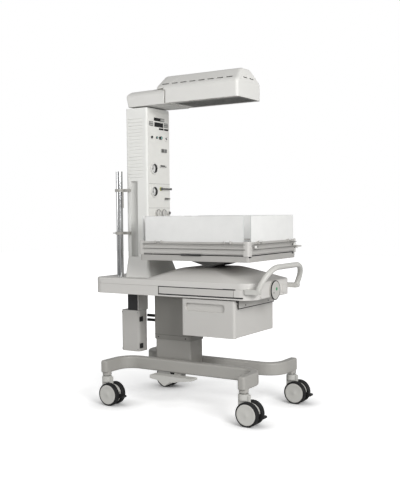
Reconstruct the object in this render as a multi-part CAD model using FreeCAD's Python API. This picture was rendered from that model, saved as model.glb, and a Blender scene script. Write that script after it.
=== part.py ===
import FreeCAD, Part
import math
import os

V = FreeCAD.Vector

# An infant radiant warmer, in millimetres.
# +X runs to the foot end, -Y is the side with the drawer, +Z is up.
# The origin is on the floor, under the middle of the object.

# Fits
run_fit = 0.06              # radial play of a shaft in its bore
part_gap = 0.3              # between faces that pass each other

# Casters
caster_x = 437.0            # stem, from the middle of the base
caster_y = 275.0
caster_trail = 34.0         # axle behind the stem
wheel_r = 62.5
wheel_width = 30.0
wheel_gap = 26.0            # between the two wheels of one caster
tyre_bevel = 4.0
axle_r = 5.0
fork_play = 1.0             # between the fork's web and each wheel
fender_r = 52.0
housing_r = 27.0            # round head of the fork
housing_over = 2.5          # its underside over the wheels' tops
housing_h = 30.5
stem_r = 12.0
stem_depth = 44.0           # how far the stem reaches into the leg
brake_pivot_x = 38.0        # from the axle
brake_drop = 6.5            # pivot below the axle
brake_pin_r = 3.0
brake_half = 8.0            # half the width of the brake tab's arm
brake_pad_half = 15.0
brake_out = 28.7            # tip of the tab beyond the tyre
housing_z0 = 2 * wheel_r + housing_over
housing_z1 = housing_z0 + housing_h
brake_pivot_z = wheel_r - brake_drop
brake_reach = wheel_r + brake_out

# Base legs
leg_height = 70.0
leg_thick = 44.0
leg_inner_y = 68.0
leg_end = 33.0              # leg's end beyond the stem
leg_bend_r = 76.0           # on the hollow side of the bend
leg_end_r = 14.0
leg_edge_r = 10.0
boss_r = 25.0
boss_rise = 7.0             # boss over the caster's head
boss_h = 13.0
leg_end_y = caster_y + leg_end
boss_z = housing_z1 + boss_rise
leg_z0 = boss_z + boss_h
leg_top = leg_z0 + leg_height

# Base casting and lift
lift_x = -134.0
lift_half_x = 125.5
lift_half_y = 73.3
lift_wall = 6.0
lift_play = 0.8             # between the two tubes
lift_corner_r = 22.0
lift_down = 94.0            # travel from the height in the photograph
lift_stop = 11.6            # outer tube over the legs at its lowest
lift_outer_len = 264.4
plate_head = 40.5           # casting beyond the lift's tube
plate_foot = 70.5
plate_rise = 5.0            # casting over the legs' undersides
plate_thick = 22.0
actuator_r = 32.0
actuator_below = 60.0       # top of the actuator under the inner tube's top
actuator_floor = 10.0
rod_r = 16.0
rod_stop = 21.0             # rod over the actuator's floor at the lowest
bridge_half_x = 28.0
bridge_wall = 8.0
bridge_stop = 3.0           # bridge over the inner tube at the lowest
plate_x0 = lift_x - lift_half_x - plate_head
plate_x1 = lift_x + lift_half_x + plate_foot
plate_z0 = leg_z0 + plate_rise
plate_z1 = plate_z0 + plate_thick
lift_outer_z0 = leg_top + lift_down + lift_stop
console_z0 = lift_outer_z0 + lift_outer_len

# Foot pedal
pedal_head = 140.0          # from the pivot to the toe end
pedal_foot = 140.0
pedal_y0 = -178.0
pedal_width = 56.0
pedal_out = 59.0            # pivot on the foot side of the lift's middle
pedal_pivot_drop = 19.0     # under the legs
pedal_pin_r = 5.0
pedal_rise = 13.0           # top over the pivot
pedal_lobe = 46.0           # lobe under the pivot
pedal_arm_w = 30.0
pedal_under = [             # from the pivot: along, down, corner radius
    (47.0, 12.0, 12.0), (25.0, 18.0, 8.0), (-5.0, 20.0, 10.0), (-42.0, pedal_lobe, 20.0), (-85.0, 15.0, 10.0),
]
pedal_pivot_x = lift_x + pedal_out
pedal_pivot_z = leg_z0 - pedal_pivot_drop
pedal_x0 = pedal_pivot_x - pedal_head
pedal_x1 = pedal_pivot_x + pedal_foot
pedal_y1 = pedal_y0 + pedal_width
pedal_top = pedal_pivot_z + pedal_rise

# Column: its place sets the dome's head end, the pole and the hood
col_x0 = -407.3
col_depth = 146.8
col_half_y = 112.5
col_h = 834.4
col_r = 12.0
col_wall = 3.0
foot_h = 115.0              # flared foot between the console and the column
foot_out_x = 31.5
foot_out_y = 37.5
foot_r = 20.0
channel_in = 53.3           # channel's middle from the rear face
channel_r = 28.0
channel_out = 14.0          # channel's centre outside the side face
channel_h = 426.0
vent_in = 16.3
vent_len = 98.0
vent_over = 16.0            # lowest vent over the channel's end
vent_pitch = 19.3
vent_count = 18
vent_h = 5.0
panel_edge = 8.5            # panel inside the column's corner
panel_below = 14.4
panel_above = 216.0
panel_thick = 4.5
panel_proud = 2.0
col_x1 = col_x0 + col_depth
foot_bottom_x1 = col_x1 + foot_out_x
foot_bottom_half_y = col_half_y + foot_out_y

# Console
rear_x = -561.0
foot_x = 462.0
console_half_y = 235.0
rear_corner_r = 60.0
foot_corner_r = 75.0
tub_h = 54.0
band_h = 33.0
shell_wall = 4.0
roof_gap = 1.0              # dome from the column's foot
roof_edge = 7.0             # dome inside the console's foot end
roof_side = 6.0
roof_r = 60.0
roof_rise = 64.0
roof_slope_head = 198.0
roof_slope_foot = 240.0
roof_slope_side = 79.0
roof_top_r = 50.0
roof_soft = 0.22            # part of the dome's flank that rounds into its top
roof_soft_in = 26.0
band_soft_r = 5.0
seam_soft_r = 2.0
cover_in = 95.0             # foot cover inside the console's flank
cover_wall = 3.7
catch_edge = 2.0            # catch plate beside the knob
catch_w = 40.0
catch_up = 14.0
catch_h = 44.0
catch_proud = 5.0
seam_z = console_z0 + tub_h
shelf_z = seam_z + band_h
roof_top = shelf_z + roof_rise
roof_x0 = foot_bottom_x1 + roof_gap
roof_x1 = foot_x - roof_edge
roof_half_y = console_half_y - roof_side
roof_top_x0 = roof_x0 + roof_slope_head
roof_top_x1 = roof_x1 - roof_slope_foot
roof_top_half_y = roof_half_y - roof_slope_side
cover_half_y = console_half_y - cover_in
bridge_top = shelf_z
lift_inner_z1 = bridge_top - bridge_wall - lift_down - bridge_stop
actuator_top = lift_inner_z1 - actuator_below
rod_z0 = plate_z1 + actuator_floor + lift_down + rod_stop

# Push handle: an arch that leans out over the foot end
handle_out = 28.2           # arch's foot beyond the console
handle_up = 46.0
handle_side = 12.0          # arch's middle line inside the console's flank
handle_lean = 65.0          # degrees above level
handle_reach = 133.0        # along the lean, to the crossbar's middle
handle_bend_r = 117.0
handle_r = 14.5
socket_in = 38.0
socket_half_z = 13.0
socket_half_y = 15.0
handle_x = foot_x + handle_out
handle_z = console_z0 + handle_up
handle_half_y = console_half_y - handle_side
socket_x0 = foot_x - socket_in

# Drawer
drawer_x1 = 358.0
drawer_len = 323.0
drawer_in = 10.0            # front inside the console's flank
drawer_back = 18.0
drawer_hang = 6.0           # below the console
drawer_h = 195.0
drawer_front = 20.0
drawer_wall = 2.5
drawer_rim = 18.0           # rim below the front's top
grip_head = 23.0            # grip from the front's ends
grip_foot = 58.0
grip_below = 22.0
grip_h = 42.0
grip_depth = 12.0
grip_r = 18.0               # rounded ends of the grip
hanger_back = 40.0
hanger_low = 24.0
hanger_wall = 3.0
ledge = 4.5
screw_r = 4.0
screw_below = 12.0
screw_deep = 1.5
screw_front = 62.0          # screws from the hanger's ends
screw_back = 84.0
drawer_x0 = drawer_x1 - drawer_len
drawer_y0 = drawer_in - console_half_y
drawer_y1 = console_half_y - drawer_back
drawer_z1 = console_z0 - drawer_hang
drawer_z0 = drawer_z1 - drawer_h
drawer_rim_z = drawer_z1 - drawer_rim
grip_x0 = drawer_x0 + grip_head
grip_x1 = drawer_x1 - grip_foot
grip_z1 = drawer_z1 - grip_below
grip_z0 = grip_z1 - grip_h
hanger_y0 = drawer_y0 + hanger_back
hanger_z0 = drawer_rim_z - hanger_low

# Pull-out tray
tray_len = 461.0
tray_up = 15.5
tray_below = 3.5            # front's top below the console's seam
tray_depth = 155.0
tray_wall = 2.5
tray_lip = 2.5              # how far the tray's front stands out of the console
slot_gap = 3.0              # round the tray's front
tray_x1 = drawer_x1
tray_x0 = tray_x1 - tray_len
tray_z0 = console_z0 + tray_up
tray_z1 = seam_z - tray_below
tray_back_y = tray_depth - console_half_y

# Tilt mechanism
tilt_x = 131.3
tilt_rise = 13.0            # pivot over the dome
tilt_limit = 15.0           # degrees each way
tilt_clear = 2.0            # least gap over the dome at full tilt
tilt_pin_r = 6.0
tilt_ear_r = 12.0
tilt_ear_y0 = 40.0
tilt_ear_y1 = 52.0
post_half_x = 30.0
post_edge = 2.0             # post beyond its ears
yoke_half_x = 136.0
yoke_half_y = 110.0
yoke_low_half_y = 78.0      # at its underside
knob_up = 37.0
knob_r = 51.0
knob_thick = 14.0
knob_shaft_r = 8.0
knob_shaft_in = 4.7         # end of the shaft beyond the pivot
tilt_z = roof_top + tilt_rise
post_half_y = tilt_ear_y1 + post_edge
knob_z = console_z0 + knob_up
knob_x0 = foot_x + cover_wall + part_gap
knob_x1 = knob_x0 + knob_thick
knob_shaft_x0 = tilt_x + knob_shaft_in

# Bed
bed_half_x = 339.0
bed_half_y = 272.6
pan_rise = 31.3             # pan over the pivot
pan_h = 30.2
pan_inset = 4.0
pan_wall = 3.0
pan_corner_r = 16.0
rail_over = 5.5             # rails over the pan
rail_h = 65.0
rail_thick = 14.0
rail_face = [               # depth behind the outer face, height over the underside
    (5.0, 0.0), (5.0, 3.0), (0.0, 5.0), (0.0, 14.0), (1.5, 17.0), (1.5, 39.0),
    (5.0, 40.5), (5.0, 47.0), (0.0, 48.5), (0.0, 59.0), (3.0, 61.0),
]
post_side = 31.0
post_rise = 4.0             # corner posts above the rails
post_soft_r = 3.0
post_r = 13.0
deck_up = 3.0
deck_thick = 3.0
mattress_thick = 48.0
mattress_gap = 5.0
mattress_r = 22.0           # least corner radius; it grows where the corner posts need room
cassette_head = 87.7        # from the bed's ends
cassette_foot = 90.3
cassette_inset = 12.6
cassette_thick = 4.0
cassette_rim = 6.0
cassette_grip_in = 187.0
cassette_grip_w = 123.0
wall_h = 133.8
wall_thick = 5.0
wall_inset = 4.6            # outer face of a wall behind the rail's outer face
wall_end_gap = 1.6          # wall from the corner post
wall_head_gap = 11.7
notch_y = 150.0
notch_half = 14.0
notch_deep = 34.0
hinge_r = 4.0
hinge_pin_r = 2.0
hinge_len = 30.0
hinge_ear = 5.0
hinge_out = 3.2             # hinge axis outside the side rail's face
foot_hinge_out = 9.0        # the same on the foot rail, so that the folded wall clears the tilt knob
hinge_up = 3.0              # hinge axis above the rail's top
near_hinge_in = 90.0
foot_hinge_in = 70.0
lever_out = 5.2
lever_in = 10.6
lever_up = 23.0
lever_len = 30.0
bed_x0 = tilt_x - bed_half_x
bed_x1 = tilt_x + bed_half_x
pan_z0 = tilt_z + pan_rise
pan_z1 = pan_z0 + pan_h
rail_z0 = pan_z1 + rail_over
rail_z1 = rail_z0 + rail_h
deck_z0 = rail_z0 + deck_up
cassette_x0 = bed_x0 + cassette_head
cassette_x1 = bed_x1 - cassette_foot
cassette_half_y = bed_half_y - cassette_inset
cassette_grip_x0 = cassette_x0 + cassette_grip_in
cassette_grip_x1 = cassette_grip_x0 + cassette_grip_w
wall_top = rail_z1 + wall_h
near_wall_x0 = bed_x0 + post_side + wall_head_gap
near_wall_x1 = bed_x1 - post_side - wall_end_gap
end_wall_half_y = bed_half_y - post_side - wall_end_gap
lever_x = bed_x1 + lever_out
lever_y = bed_half_y - lever_in
lever_z = rail_z0 + lever_up

# Column heights, and the panel let into its face
col_z0 = shelf_z + foot_h
col_top = col_z0 + col_h
channel_x = col_x0 + channel_in
channel_top = col_z0 + channel_h
vent_x0 = col_x0 + vent_in
vent_x1 = vent_x0 + vent_len
vent_z0 = channel_top + vent_over
panel_half_y = col_half_y - panel_edge
panel_z0 = col_z0 + panel_above
panel_z1 = col_top - panel_below
panel_x1 = col_x1 + panel_proud     # front face of the panel

# Controls on the panel: across (Y), and down from the panel's top
screen_proud = 1.2
screens = [                 # y0, y1, lower edge, upper edge
    (-46, 56, 54, 36),
    (-42, 42, 87, 62),
    (2, 46, 102, 92),
    (54, 92, 102, 92),
    (-92, -54, 85, 60),
    (52, 92, 85, 60),
]
row_down = 148.0            # row of lamps, button and menu knob
lamp_y = [-25.0, 70.0]
lamp_r = 6.5
lamp_proud = 4.0
button_y = -70.0
button_r = 7.0
button_travel = 2.0
menu_y = 10.0
menu_r = 9.0
port_y = 46.0
port_down = 219.0
port_half_y = 30.0
port_half_z = 12.5
port_proud = 4.0
gauge_y = -52.0
gauge_down = [323.0, 453.0]
gauge_r = 33.5
gauge_body_r = 29.0
gauge_deep = 28.0           # case behind the panel
gauge_recess = 6.0          # dial behind the panel's face
gauge_rim = 7.0             # bezel in front of it
gauge_rim_wall = 3.5
needle_len = 22.0
needle_tail = 7.0
needle_thick = 1.0
needle_hub_r = 4.0
needle_pin_r = 1.5
valve_y = 12.0
valve_down = 437.0
valve_r = 8.0
valve_lever_len = 96.0
side_ports = [(4.0, 64.0, 315.0, 299.0), (42.0, 100.0, 500.0, 486.0)]
side_port_proud = 6.0
flow_y = [-24.0, 31.0]
flow_down = 575.0
flow_r = 21.0
stub_y = 80.0
stub_r = 11.0
stub_proud = 14.0
knob_spindle_r = 3.0
knob_deep = 13.0
button_z = panel_z1 - row_down
menu_z = button_z
port_z = panel_z1 - port_down
gauge_z = [panel_z1 - down for down in gauge_down]
valve_z = panel_z1 - valve_down
flow_z = panel_z1 - flow_down
dial_x = panel_x1 - gauge_recess

# Pole
pole_behind = 30.7          # pole's middle behind the column
pole_beside = 27.5
pole_r = 19.0
pole_len = 597.0
pole_wall = 2.0
pole_seam_h = 3.0           # shadow line where the pole's two lengths meet
pole_seam_depth = 0.8
bracket_up = [240.0, 482.0]
bracket_h = 16.0
bracket_near = 8.0          # arm's two edges from the pole's middle line
bracket_far = 27.0
bracket_root = 30.0         # arm's end along the column
bracket_flare = 16.0
bracket_wall = 6.0
hook_len = 92.0             # flat hook under the upper bracket
pole_x = col_x0 - pole_behind
pole_y = -col_half_y - pole_beside
pole_top = shelf_z + pole_len
bracket_z = [shelf_z + up for up in bracket_up]

# Service box that hangs under the rear shelf, between the legs
box_from_lift = 108.0
box_len = 131.5
box_leg_gap = 2.0           # from the near leg when the console is down
box_width = 90.0
box_h = 238.0
box_r = 20.0
box_wall = 3.0
neck_h = 114.0
neck_in = 51.5
neck_inset = 2.0
neck_wall = 4.0
strut_h = 16.0
strut_down = [68.0, 42.0]
strut_wall = 8.0
clip_w = 30.0
clip_h = 28.0
clip_out = 3.0
clip_low = 19.0
clip_high = 64.0
box_x1 = lift_x - lift_half_x - box_from_lift
box_x0 = box_x1 - box_len
box_y0 = box_leg_gap - leg_inner_y
box_y1 = box_y0 + box_width
box_z1 = console_z0 - neck_h
box_z0 = box_z1 - box_h
neck_x0 = box_x0 + neck_in
strut_z = [box_z1 - down for down in strut_down]
clip_z = [box_z0 + clip_low, box_z1 - clip_high]

# Hood and arm
swivel_r = 30.0
swivel_depth = 62.0
bearing_r = 46.0
arm_over = 7.6              # arm over the column
arm_side_h = 66.0
arm_roof_h = 22.0
arm_in = 3.3
arm_half_y = 114.0
arm_rear_slant = 15.0
arm_top_inset = 24.0
arm_wall = 4.0
arm_soft = 0.4              # part of the arm's slope that rounds off at each end
arm_soft_in = 14.0
hood_out = 126.5            # hood's head end from the column
hood_len = 465.0
hood_half_y = 127.8
hood_over = 2.5             # hood's edge over the arm's
hood_side_h = 87.8
hood_slope_h = 72.2
hood_slope_head = 60.0
hood_slope_foot = 20.0
hood_top_half_y = 46.0
hood_r = 18.0
hood_crease_soft = 16.0     # rounding below the crease
hood_soft = 0.16            # part of the hood's slope that rounds off at each end
hood_soft_in = 16.0
hood_wall = 3.5
hood_slot_in = 38.0
hood_slot_pitch = 57.5
hood_slot_count = 7
hood_slot_len = 42.0
hood_slot_up = 15.7
hood_slot_h = 5.0
end_slot_y = [-34.0, 34.0]
end_slot_len = 44.0
heater_head = 64.0
heater_foot = 15.0
heater_half_y = 88.0
heater_rise = 52.0
heater_draft = 22.0
sheet = 2.0
heater_rod_y = [-44.0, 0.0, 44.0]
heater_rod_r = 6.0
heater_rod_up = 27.5
heater_block = 12.0
guard_thick = 2.0
lamp_r = 17.0               # examination lamp in the hood's underside
lamp_rim = 3.0
lamp_proud = 2.0
lamp_deep = 3.0
guard_bars = 11
guard_bar = 4.0
guard_rim = 8.0
swivel_x = (col_x0 + col_x1) / 2
arm_z0 = col_top + arm_over
arm_side_z = arm_z0 + arm_side_h
arm_top = arm_side_z + arm_roof_h
arm_x0 = col_x0 + arm_in
hood_x0 = col_x1 + hood_out
hood_x1 = hood_x0 + hood_len
hood_z0 = arm_z0 + hood_over
hood_crease = hood_z0 + hood_side_h
hood_top = hood_crease + hood_slope_h
hood_top_x0 = hood_x0 + hood_slope_head
hood_top_x1 = hood_x1 - hood_slope_foot
hood_slot_x0 = hood_x0 + hood_slot_in
hood_slot_z = hood_crease + hood_slot_up
heater_x0 = hood_x0 + heater_head
heater_x1 = hood_x1 - heater_foot
heater_rod_z = hood_z0 + heater_rod_up

# Steps in a rounding between two flanks
soft_steps = 4

os.makedirs("parts", exist_ok=True)


def box(x0, x1, y0, y1, z0, z1):
    return Part.makeBox(x1 - x0, y1 - y0, z1 - z0, V(x0, y0, z0))


def rod(axis, at, r, length):
    direction = {"x": V(1, 0, 0), "y": V(0, 1, 0), "z": V(0, 0, 1)}[axis]
    return Part.makeCylinder(r, length, V(*at), direction)


def round_wire(corners, place):
    """A closed wire of lines and arcs. Each corner is (u, v, radius); place turns (u, v) into a point."""
    cuts = []
    count = len(corners)
    for i in range(count):
        u, v, r = corners[i]
        pu, pv = corners[i - 1][:2]
        nu, nv = corners[(i + 1) % count][:2]
        back = math.hypot(pu - u, pv - v)
        ahead = math.hypot(nu - u, nv - v)
        bu, bv = (pu - u) / back, (pv - v) / back
        au, av = (nu - u) / ahead, (nv - v) / ahead
        half = math.acos(max(-1.0, min(1.0, bu * au + bv * av))) / 2
        run = r / math.tan(half) if r else 0.0
        mu, mv = bu + au, bv + av
        size = math.hypot(mu, mv)
        reach = r / math.sin(half) - r if r else 0.0
        middle = (u + mu / size * reach, v + mv / size * reach)
        cuts.append(((u + bu * run, v + bv * run), middle, (u + au * run, v + av * run), r))
    edges = []
    for i in range(count):
        start, middle, end, r = cuts[i]
        if r:
            edges.append(Part.Arc(place(*start), place(*middle), place(*end)).toShape())
        ahead = cuts[(i + 1) % count][0]
        if math.hypot(ahead[0] - end[0], ahead[1] - end[1]) > 1e-6:
            edges.append(Part.LineSegment(place(*end), place(*ahead)).toShape())
    return Part.Wire(edges)


def plan(corners, z0, z1):
    """A solid whose outline is drawn in plan."""
    face = Part.Face(round_wire(corners, lambda u, v: V(u, v, z0)))
    return face.extrude(V(0, 0, z1 - z0))


def side(corners, y0, y1):
    """A solid whose outline (x, z, radius) is drawn from the side."""
    face = Part.Face(round_wire(corners, lambda u, v: V(u, y0, v)))
    return face.extrude(V(0, y1 - y0, 0))


def front(corners, x0, x1):
    """A solid whose outline (y, z, radius) is drawn from the end."""
    face = Part.Face(round_wire(corners, lambda u, v: V(x0, u, v)))
    return face.extrude(V(x1 - x0, 0, 0))


def rect(x0, x1, y0, y1, r):
    return [(x0, y0, r), (x1, y0, r), (x1, y1, r), (x0, y1, r)]


def levels(sections):
    """A solid with flat flanks through outlines at rising heights: (corners, z) from low to high."""
    wires = [round_wire(corners, lambda u, v, z=z: V(u, v, z)) for corners, z in sections]
    return Part.makeLoft(wires, True, True)


def between(a, b, share):
    """The outline part of the way from one to the next; each is an (outline, height)."""
    outline = [tuple(p + share * (q - p) for p, q in zip(c, d)) for c, d in zip(a[0], b[0])]
    return outline, a[1] + share * (b[1] - a[1])


def eased(a, corner, b):
    """Outlines that round off the corner between a and b."""
    shares = [i / soft_steps for i in range(soft_steps + 1)]
    return [between(between(a, corner, t), between(corner, b, t), t) for t in shares]


def mirror_y(shape):
    return shape.mirror(V(0, 0, 0), V(0, 1, 0))


def edges_at(shape, z):
    """Edges that lie in the level plane z."""
    low = z - 1e-3
    high = z + 1e-3
    return [e for e in shape.Edges if low < e.BoundBox.ZMin and e.BoundBox.ZMax < high]


def save(name, *solids):
    whole = solids[0] if len(solids) == 1 else Part.makeCompound(list(solids))
    whole.exportStep("parts/" + name + ".step")


# Base legs
leg_outer_y = leg_inner_y + leg_thick
leg_out_x = caster_x + leg_thick / 2
leg_in_x = caster_x - leg_thick / 2


def near_leg():
    out_r = leg_bend_r + leg_thick
    leg = plan([
        (-leg_out_x, -leg_end_y, leg_end_r), (-leg_in_x, -leg_end_y, leg_end_r),
        (-leg_in_x, -leg_outer_y, leg_bend_r), (leg_in_x, -leg_outer_y, leg_bend_r),
        (leg_in_x, -leg_end_y, leg_end_r), (leg_out_x, -leg_end_y, leg_end_r),
        (leg_out_x, -leg_inner_y, out_r), (-leg_out_x, -leg_inner_y, out_r),
    ], leg_z0, leg_top)
    leg = leg.makeFillet(leg_edge_r, edges_at(leg, leg_top) + edges_at(leg, leg_z0))
    for x in (-caster_x, caster_x):
        leg = leg.fuse(rod("z", (x, -caster_y, boss_z), boss_r, leg_z0 + leg_edge_r - boss_z))
        leg = leg.cut(rod("z", (x, -caster_y, boss_z - 1), stem_r + run_fit, stem_depth + 3))
    return leg.removeSplitter()


leg = near_leg()
save("base_legs", leg, mirror_y(leg))

# Base casting, with the arms that reach under the near leg to the pedal
lift_in_x = lift_half_x - lift_wall - lift_play
lift_in_y = lift_half_y - lift_wall - lift_play
base_plate = box(plate_x0, plate_x1, -leg_inner_y, leg_inner_y, plate_z0, plate_z1)
pedal_arm_z0 = pedal_pivot_z - 10
pedal_arm_y = pedal_y1 + 4
base_plate = base_plate.fuse(box(pedal_pivot_x - pedal_arm_w / 2, pedal_pivot_x + pedal_arm_w / 2,
                                 -leg_inner_y + 4, -leg_inner_y + 20, pedal_arm_z0, plate_z0 + 1))
base_plate = base_plate.fuse(box(pedal_pivot_x - pedal_arm_w / 2, pedal_pivot_x + pedal_arm_w / 2,
                                 pedal_arm_y, -leg_inner_y + 20, pedal_arm_z0, leg_z0))
base_plate = base_plate.fuse(rod("y", (pedal_pivot_x, pedal_y0 + 12, pedal_pivot_z), pedal_pin_r,
                                 pedal_arm_y - pedal_y0 - 12))
base_plate = base_plate.removeSplitter()
save("base_plate", base_plate)


def lift_section(half_x, half_y, r, z0, z1):
    return plan(rect(lift_x - half_x, lift_x + half_x, -half_y, half_y, r), z0, z1)


inner_r = lift_corner_r - lift_wall - lift_play
inner_tube = lift_section(lift_in_x, lift_in_y, inner_r, plate_z1, lift_inner_z1).cut(
    lift_section(lift_in_x - lift_wall, lift_in_y - lift_wall, inner_r - lift_wall, plate_z1 - 1, lift_inner_z1 + 1))
save("lift_inner_tube", inner_tube)
outer_tube = lift_section(lift_half_x, lift_half_y, lift_corner_r, lift_outer_z0, console_z0).cut(
    lift_section(lift_in_x + lift_play, lift_in_y + lift_play, inner_r + lift_play, lift_outer_z0 - 1, console_z0 + 1))
save("lift_outer_tube", outer_tube)
actuator = rod("z", (lift_x, 0, plate_z1), actuator_r, actuator_top - plate_z1).cut(
    rod("z", (lift_x, 0, plate_z1 + actuator_floor), rod_r, actuator_top))
save("lift_actuator", actuator)

# Actuator rod, and the bridge over the inner tube that carries the console
bridge_y = lift_in_y + 4
floor_z = console_z0 + shell_wall
bridge = box(lift_x - bridge_half_x, lift_x + bridge_half_x, -bridge_y - bridge_wall, bridge_y + bridge_wall,
             bridge_top - bridge_wall, bridge_top)
for y in (-bridge_y - bridge_wall, bridge_y):
    bridge = bridge.fuse(box(lift_x - bridge_half_x, lift_x + bridge_half_x, y, y + bridge_wall, floor_z, bridge_top))
lift_rod = bridge.fuse(rod("z", (lift_x, 0, rod_z0), rod_r - run_fit, bridge_top - rod_z0)).removeSplitter()
save("lift_rod", lift_rod)

# Foot pedal: a rocking bar with a lobe under it
pedal = side([
    (pedal_x0, pedal_pivot_z - 9, 9), (pedal_x0, pedal_top, 10), (pedal_x1, pedal_top, 6),
    (pedal_x1, pedal_pivot_z + 1, 5)]
    + [(pedal_pivot_x + dx, pedal_pivot_z - dz, r) for dx, dz, r in pedal_under], pedal_y0, pedal_y1)
pedal = pedal.cut(rod("y", (pedal_pivot_x, pedal_y0 + 11, pedal_pivot_z), pedal_pin_r + run_fit, pedal_y1 - pedal_y0))
save("lift_pedal", pedal)


# Casters
def wheel(y_in, y_out, ax, z):
    bevel = tyre_bevel if y_out > y_in else -tyre_bevel
    outline = [(0, y_in), (wheel_r - tyre_bevel, y_in), (wheel_r, y_in + bevel), (wheel_r, y_out - bevel),
               (wheel_r - tyre_bevel, y_out), (0, y_out)]
    points = [V(ax + r, y, z) for r, y in outline]
    face = Part.Face(Part.makePolygon(points + points[:1]))
    return face.revolve(V(ax, 0, z), V(0, 1, 0), 360)


def caster(name, x, y):
    ax = x + caster_trail
    half_gap = wheel_gap / 2
    out = half_gap + wheel_width
    wheels = wheel(y - half_gap, y - out, ax, wheel_r).fuse(wheel(y + half_gap, y + out, ax, wheel_r))
    wheels = wheels.fuse(rod("y", (ax, y - half_gap - 1, wheel_r), axle_r, wheel_gap + 2))
    save("caster_wheels_" + name, wheels.removeSplitter())

    web = half_gap - fork_play
    fork = rod("y", (ax, y - web, wheel_r), fender_r, 2 * web)
    fork = fork.fuse(box(x - housing_r, ax, y - web, y + web, wheel_r, housing_z1 - 4))
    fork = fork.fuse(rod("z", (x, y, housing_z0), housing_r, housing_z1 - housing_z0))
    fork = fork.fuse(rod("z", (x, y, housing_z1 - 1), stem_r, boss_z + stem_depth - housing_z1))
    fork = fork.cut(rod("y", (ax, y - web - 1, wheel_r), axle_r + run_fit, 2 * web + 2))
    fork = fork.cut(box(ax + brake_pivot_x - 16, ax + fender_r + 1, y - brake_half - part_gap,
                        y + brake_half + part_gap, 0, brake_pivot_z + 22))
    pivot = (ax + brake_pivot_x, y - web, brake_pivot_z)
    fork = fork.fuse(rod("y", pivot, brake_pin_r, 2 * web))
    save("caster_fork_" + name, fork.removeSplitter())

    px, pz = ax + brake_pivot_x, brake_pivot_z
    tip = ax + brake_reach
    tab = side([(px - 9, pz - 8, 5), (px + 6, pz - 13, 6), (ax + wheel_r + 3, pz - 12, 4), (tip - 5, pz - 9, 5),
                (tip, pz - 2, 4), (tip - 6, pz + 4, 5), (px + 20, pz + 9, 10), (px - 9, pz + 8, 5)],
               y - brake_half, y + brake_half)
    pad = side([(ax + wheel_r + 3, pz - 12, 3), (tip - 5, pz - 9, 5), (tip, pz - 2, 4), (tip - 6, pz + 4, 5),
                (ax + wheel_r + 3, pz + 5, 3)], y - brake_pad_half, y + brake_pad_half)
    tab = tab.fuse(pad).cut(rod("y", (px, y - web, pz), brake_pin_r + run_fit, 2 * web))
    save("brake_tab_" + name, tab.removeSplitter())


for end, x in (("head", -caster_x), ("foot", caster_x)):
    for flank, y in (("near", -caster_y), ("far", caster_y)):
        caster(flank + "_" + end, x, y)

# Console tub: the lower shell, open at the top, with the tray's slot and runners
console_plan = [(rear_x, -console_half_y, rear_corner_r), (foot_x, -console_half_y, foot_corner_r),
                (foot_x, console_half_y, foot_corner_r), (rear_x, console_half_y, rear_corner_r)]


def inset(corners, d):
    """The same outline moved in by d; the corners are those of a rectangle."""
    us = [c[0] for c in corners]
    vs = [c[1] for c in corners]
    mid_u = (min(us) + max(us)) / 2
    mid_v = (min(vs) + max(vs)) / 2
    return [(u + d * math.copysign(1, mid_u - u), v + d * math.copysign(1, mid_v - v), max(r - d, 0.5))
            for u, v, r in corners]


tray_y0 = -console_half_y - tray_lip
tub = plan(console_plan, console_z0, seam_z - part_gap)
tub = tub.makeFillet(seam_soft_r, edges_at(tub, seam_z - part_gap) + edges_at(tub, console_z0))
tub = tub.cut(plan(inset(console_plan, shell_wall), floor_z, seam_z))
tub = tub.cut(box(tray_x0 - slot_gap, tray_x1 + slot_gap, -console_half_y - 1, -console_half_y + shell_wall + 1,
                  tray_z0 - slot_gap, seam_z))
runner_y0 = -console_half_y + shell_wall + 1
for x in (tray_x0 + 6, tray_x1 - 16):
    tub = tub.fuse(box(x, x + 10, runner_y0, tray_back_y, floor_z, tray_z0 - part_gap))
tub = tub.cut(lift_section(lift_in_x + 3, lift_in_y + 2.5, inner_r + 3, console_z0 - 1, floor_z + 1))
tub = tub.cut(rod("x", (foot_x - 2 * shell_wall, 0, knob_z), knob_shaft_r + run_fit, 3 * shell_wall))
save("console_tub", tub.removeSplitter())

# Console roof: the band over the seam, the rear shelf's top, and the dome
band = plan(console_plan, seam_z, shelf_z)
band = band.makeFillet(band_soft_r, edges_at(band, shelf_z))
band = band.makeFillet(seam_soft_r, edges_at(band, seam_z))


def pillow(low, high):
    flat = (inset(high[0], roof_soft_in), high[1])
    return levels([low] + eased(between(high, low, roof_soft), high, flat))


dome = pillow((rect(roof_x0, roof_x1, -roof_half_y, roof_half_y, roof_r), shelf_z),
              (rect(roof_top_x0, roof_top_x1, -roof_top_half_y, roof_top_half_y, roof_top_r), roof_top))
hollow = plan(inset(console_plan, shell_wall), seam_z - 1, shelf_z - shell_wall)
dome_in = pillow(
    (rect(roof_x0 + 9, roof_x1 - 9, -roof_half_y + 9, roof_half_y - 9, roof_r - 9), shelf_z - shell_wall - 0.1),
    (rect(roof_top_x0 + 3, roof_top_x1 - 3, -roof_top_half_y + 3, roof_top_half_y - 3, roof_top_r - 3),
     roof_top - shell_wall))
roof = band.fuse(dome).removeSplitter().cut(hollow.fuse(dome_in))
roof = roof.cut(box(tilt_x - post_half_x - 1, tilt_x + post_half_x + 1, -post_half_y - 1, post_half_y + 1,
                    shelf_z, roof_top + 1))
save("console_roof", roof)

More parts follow.
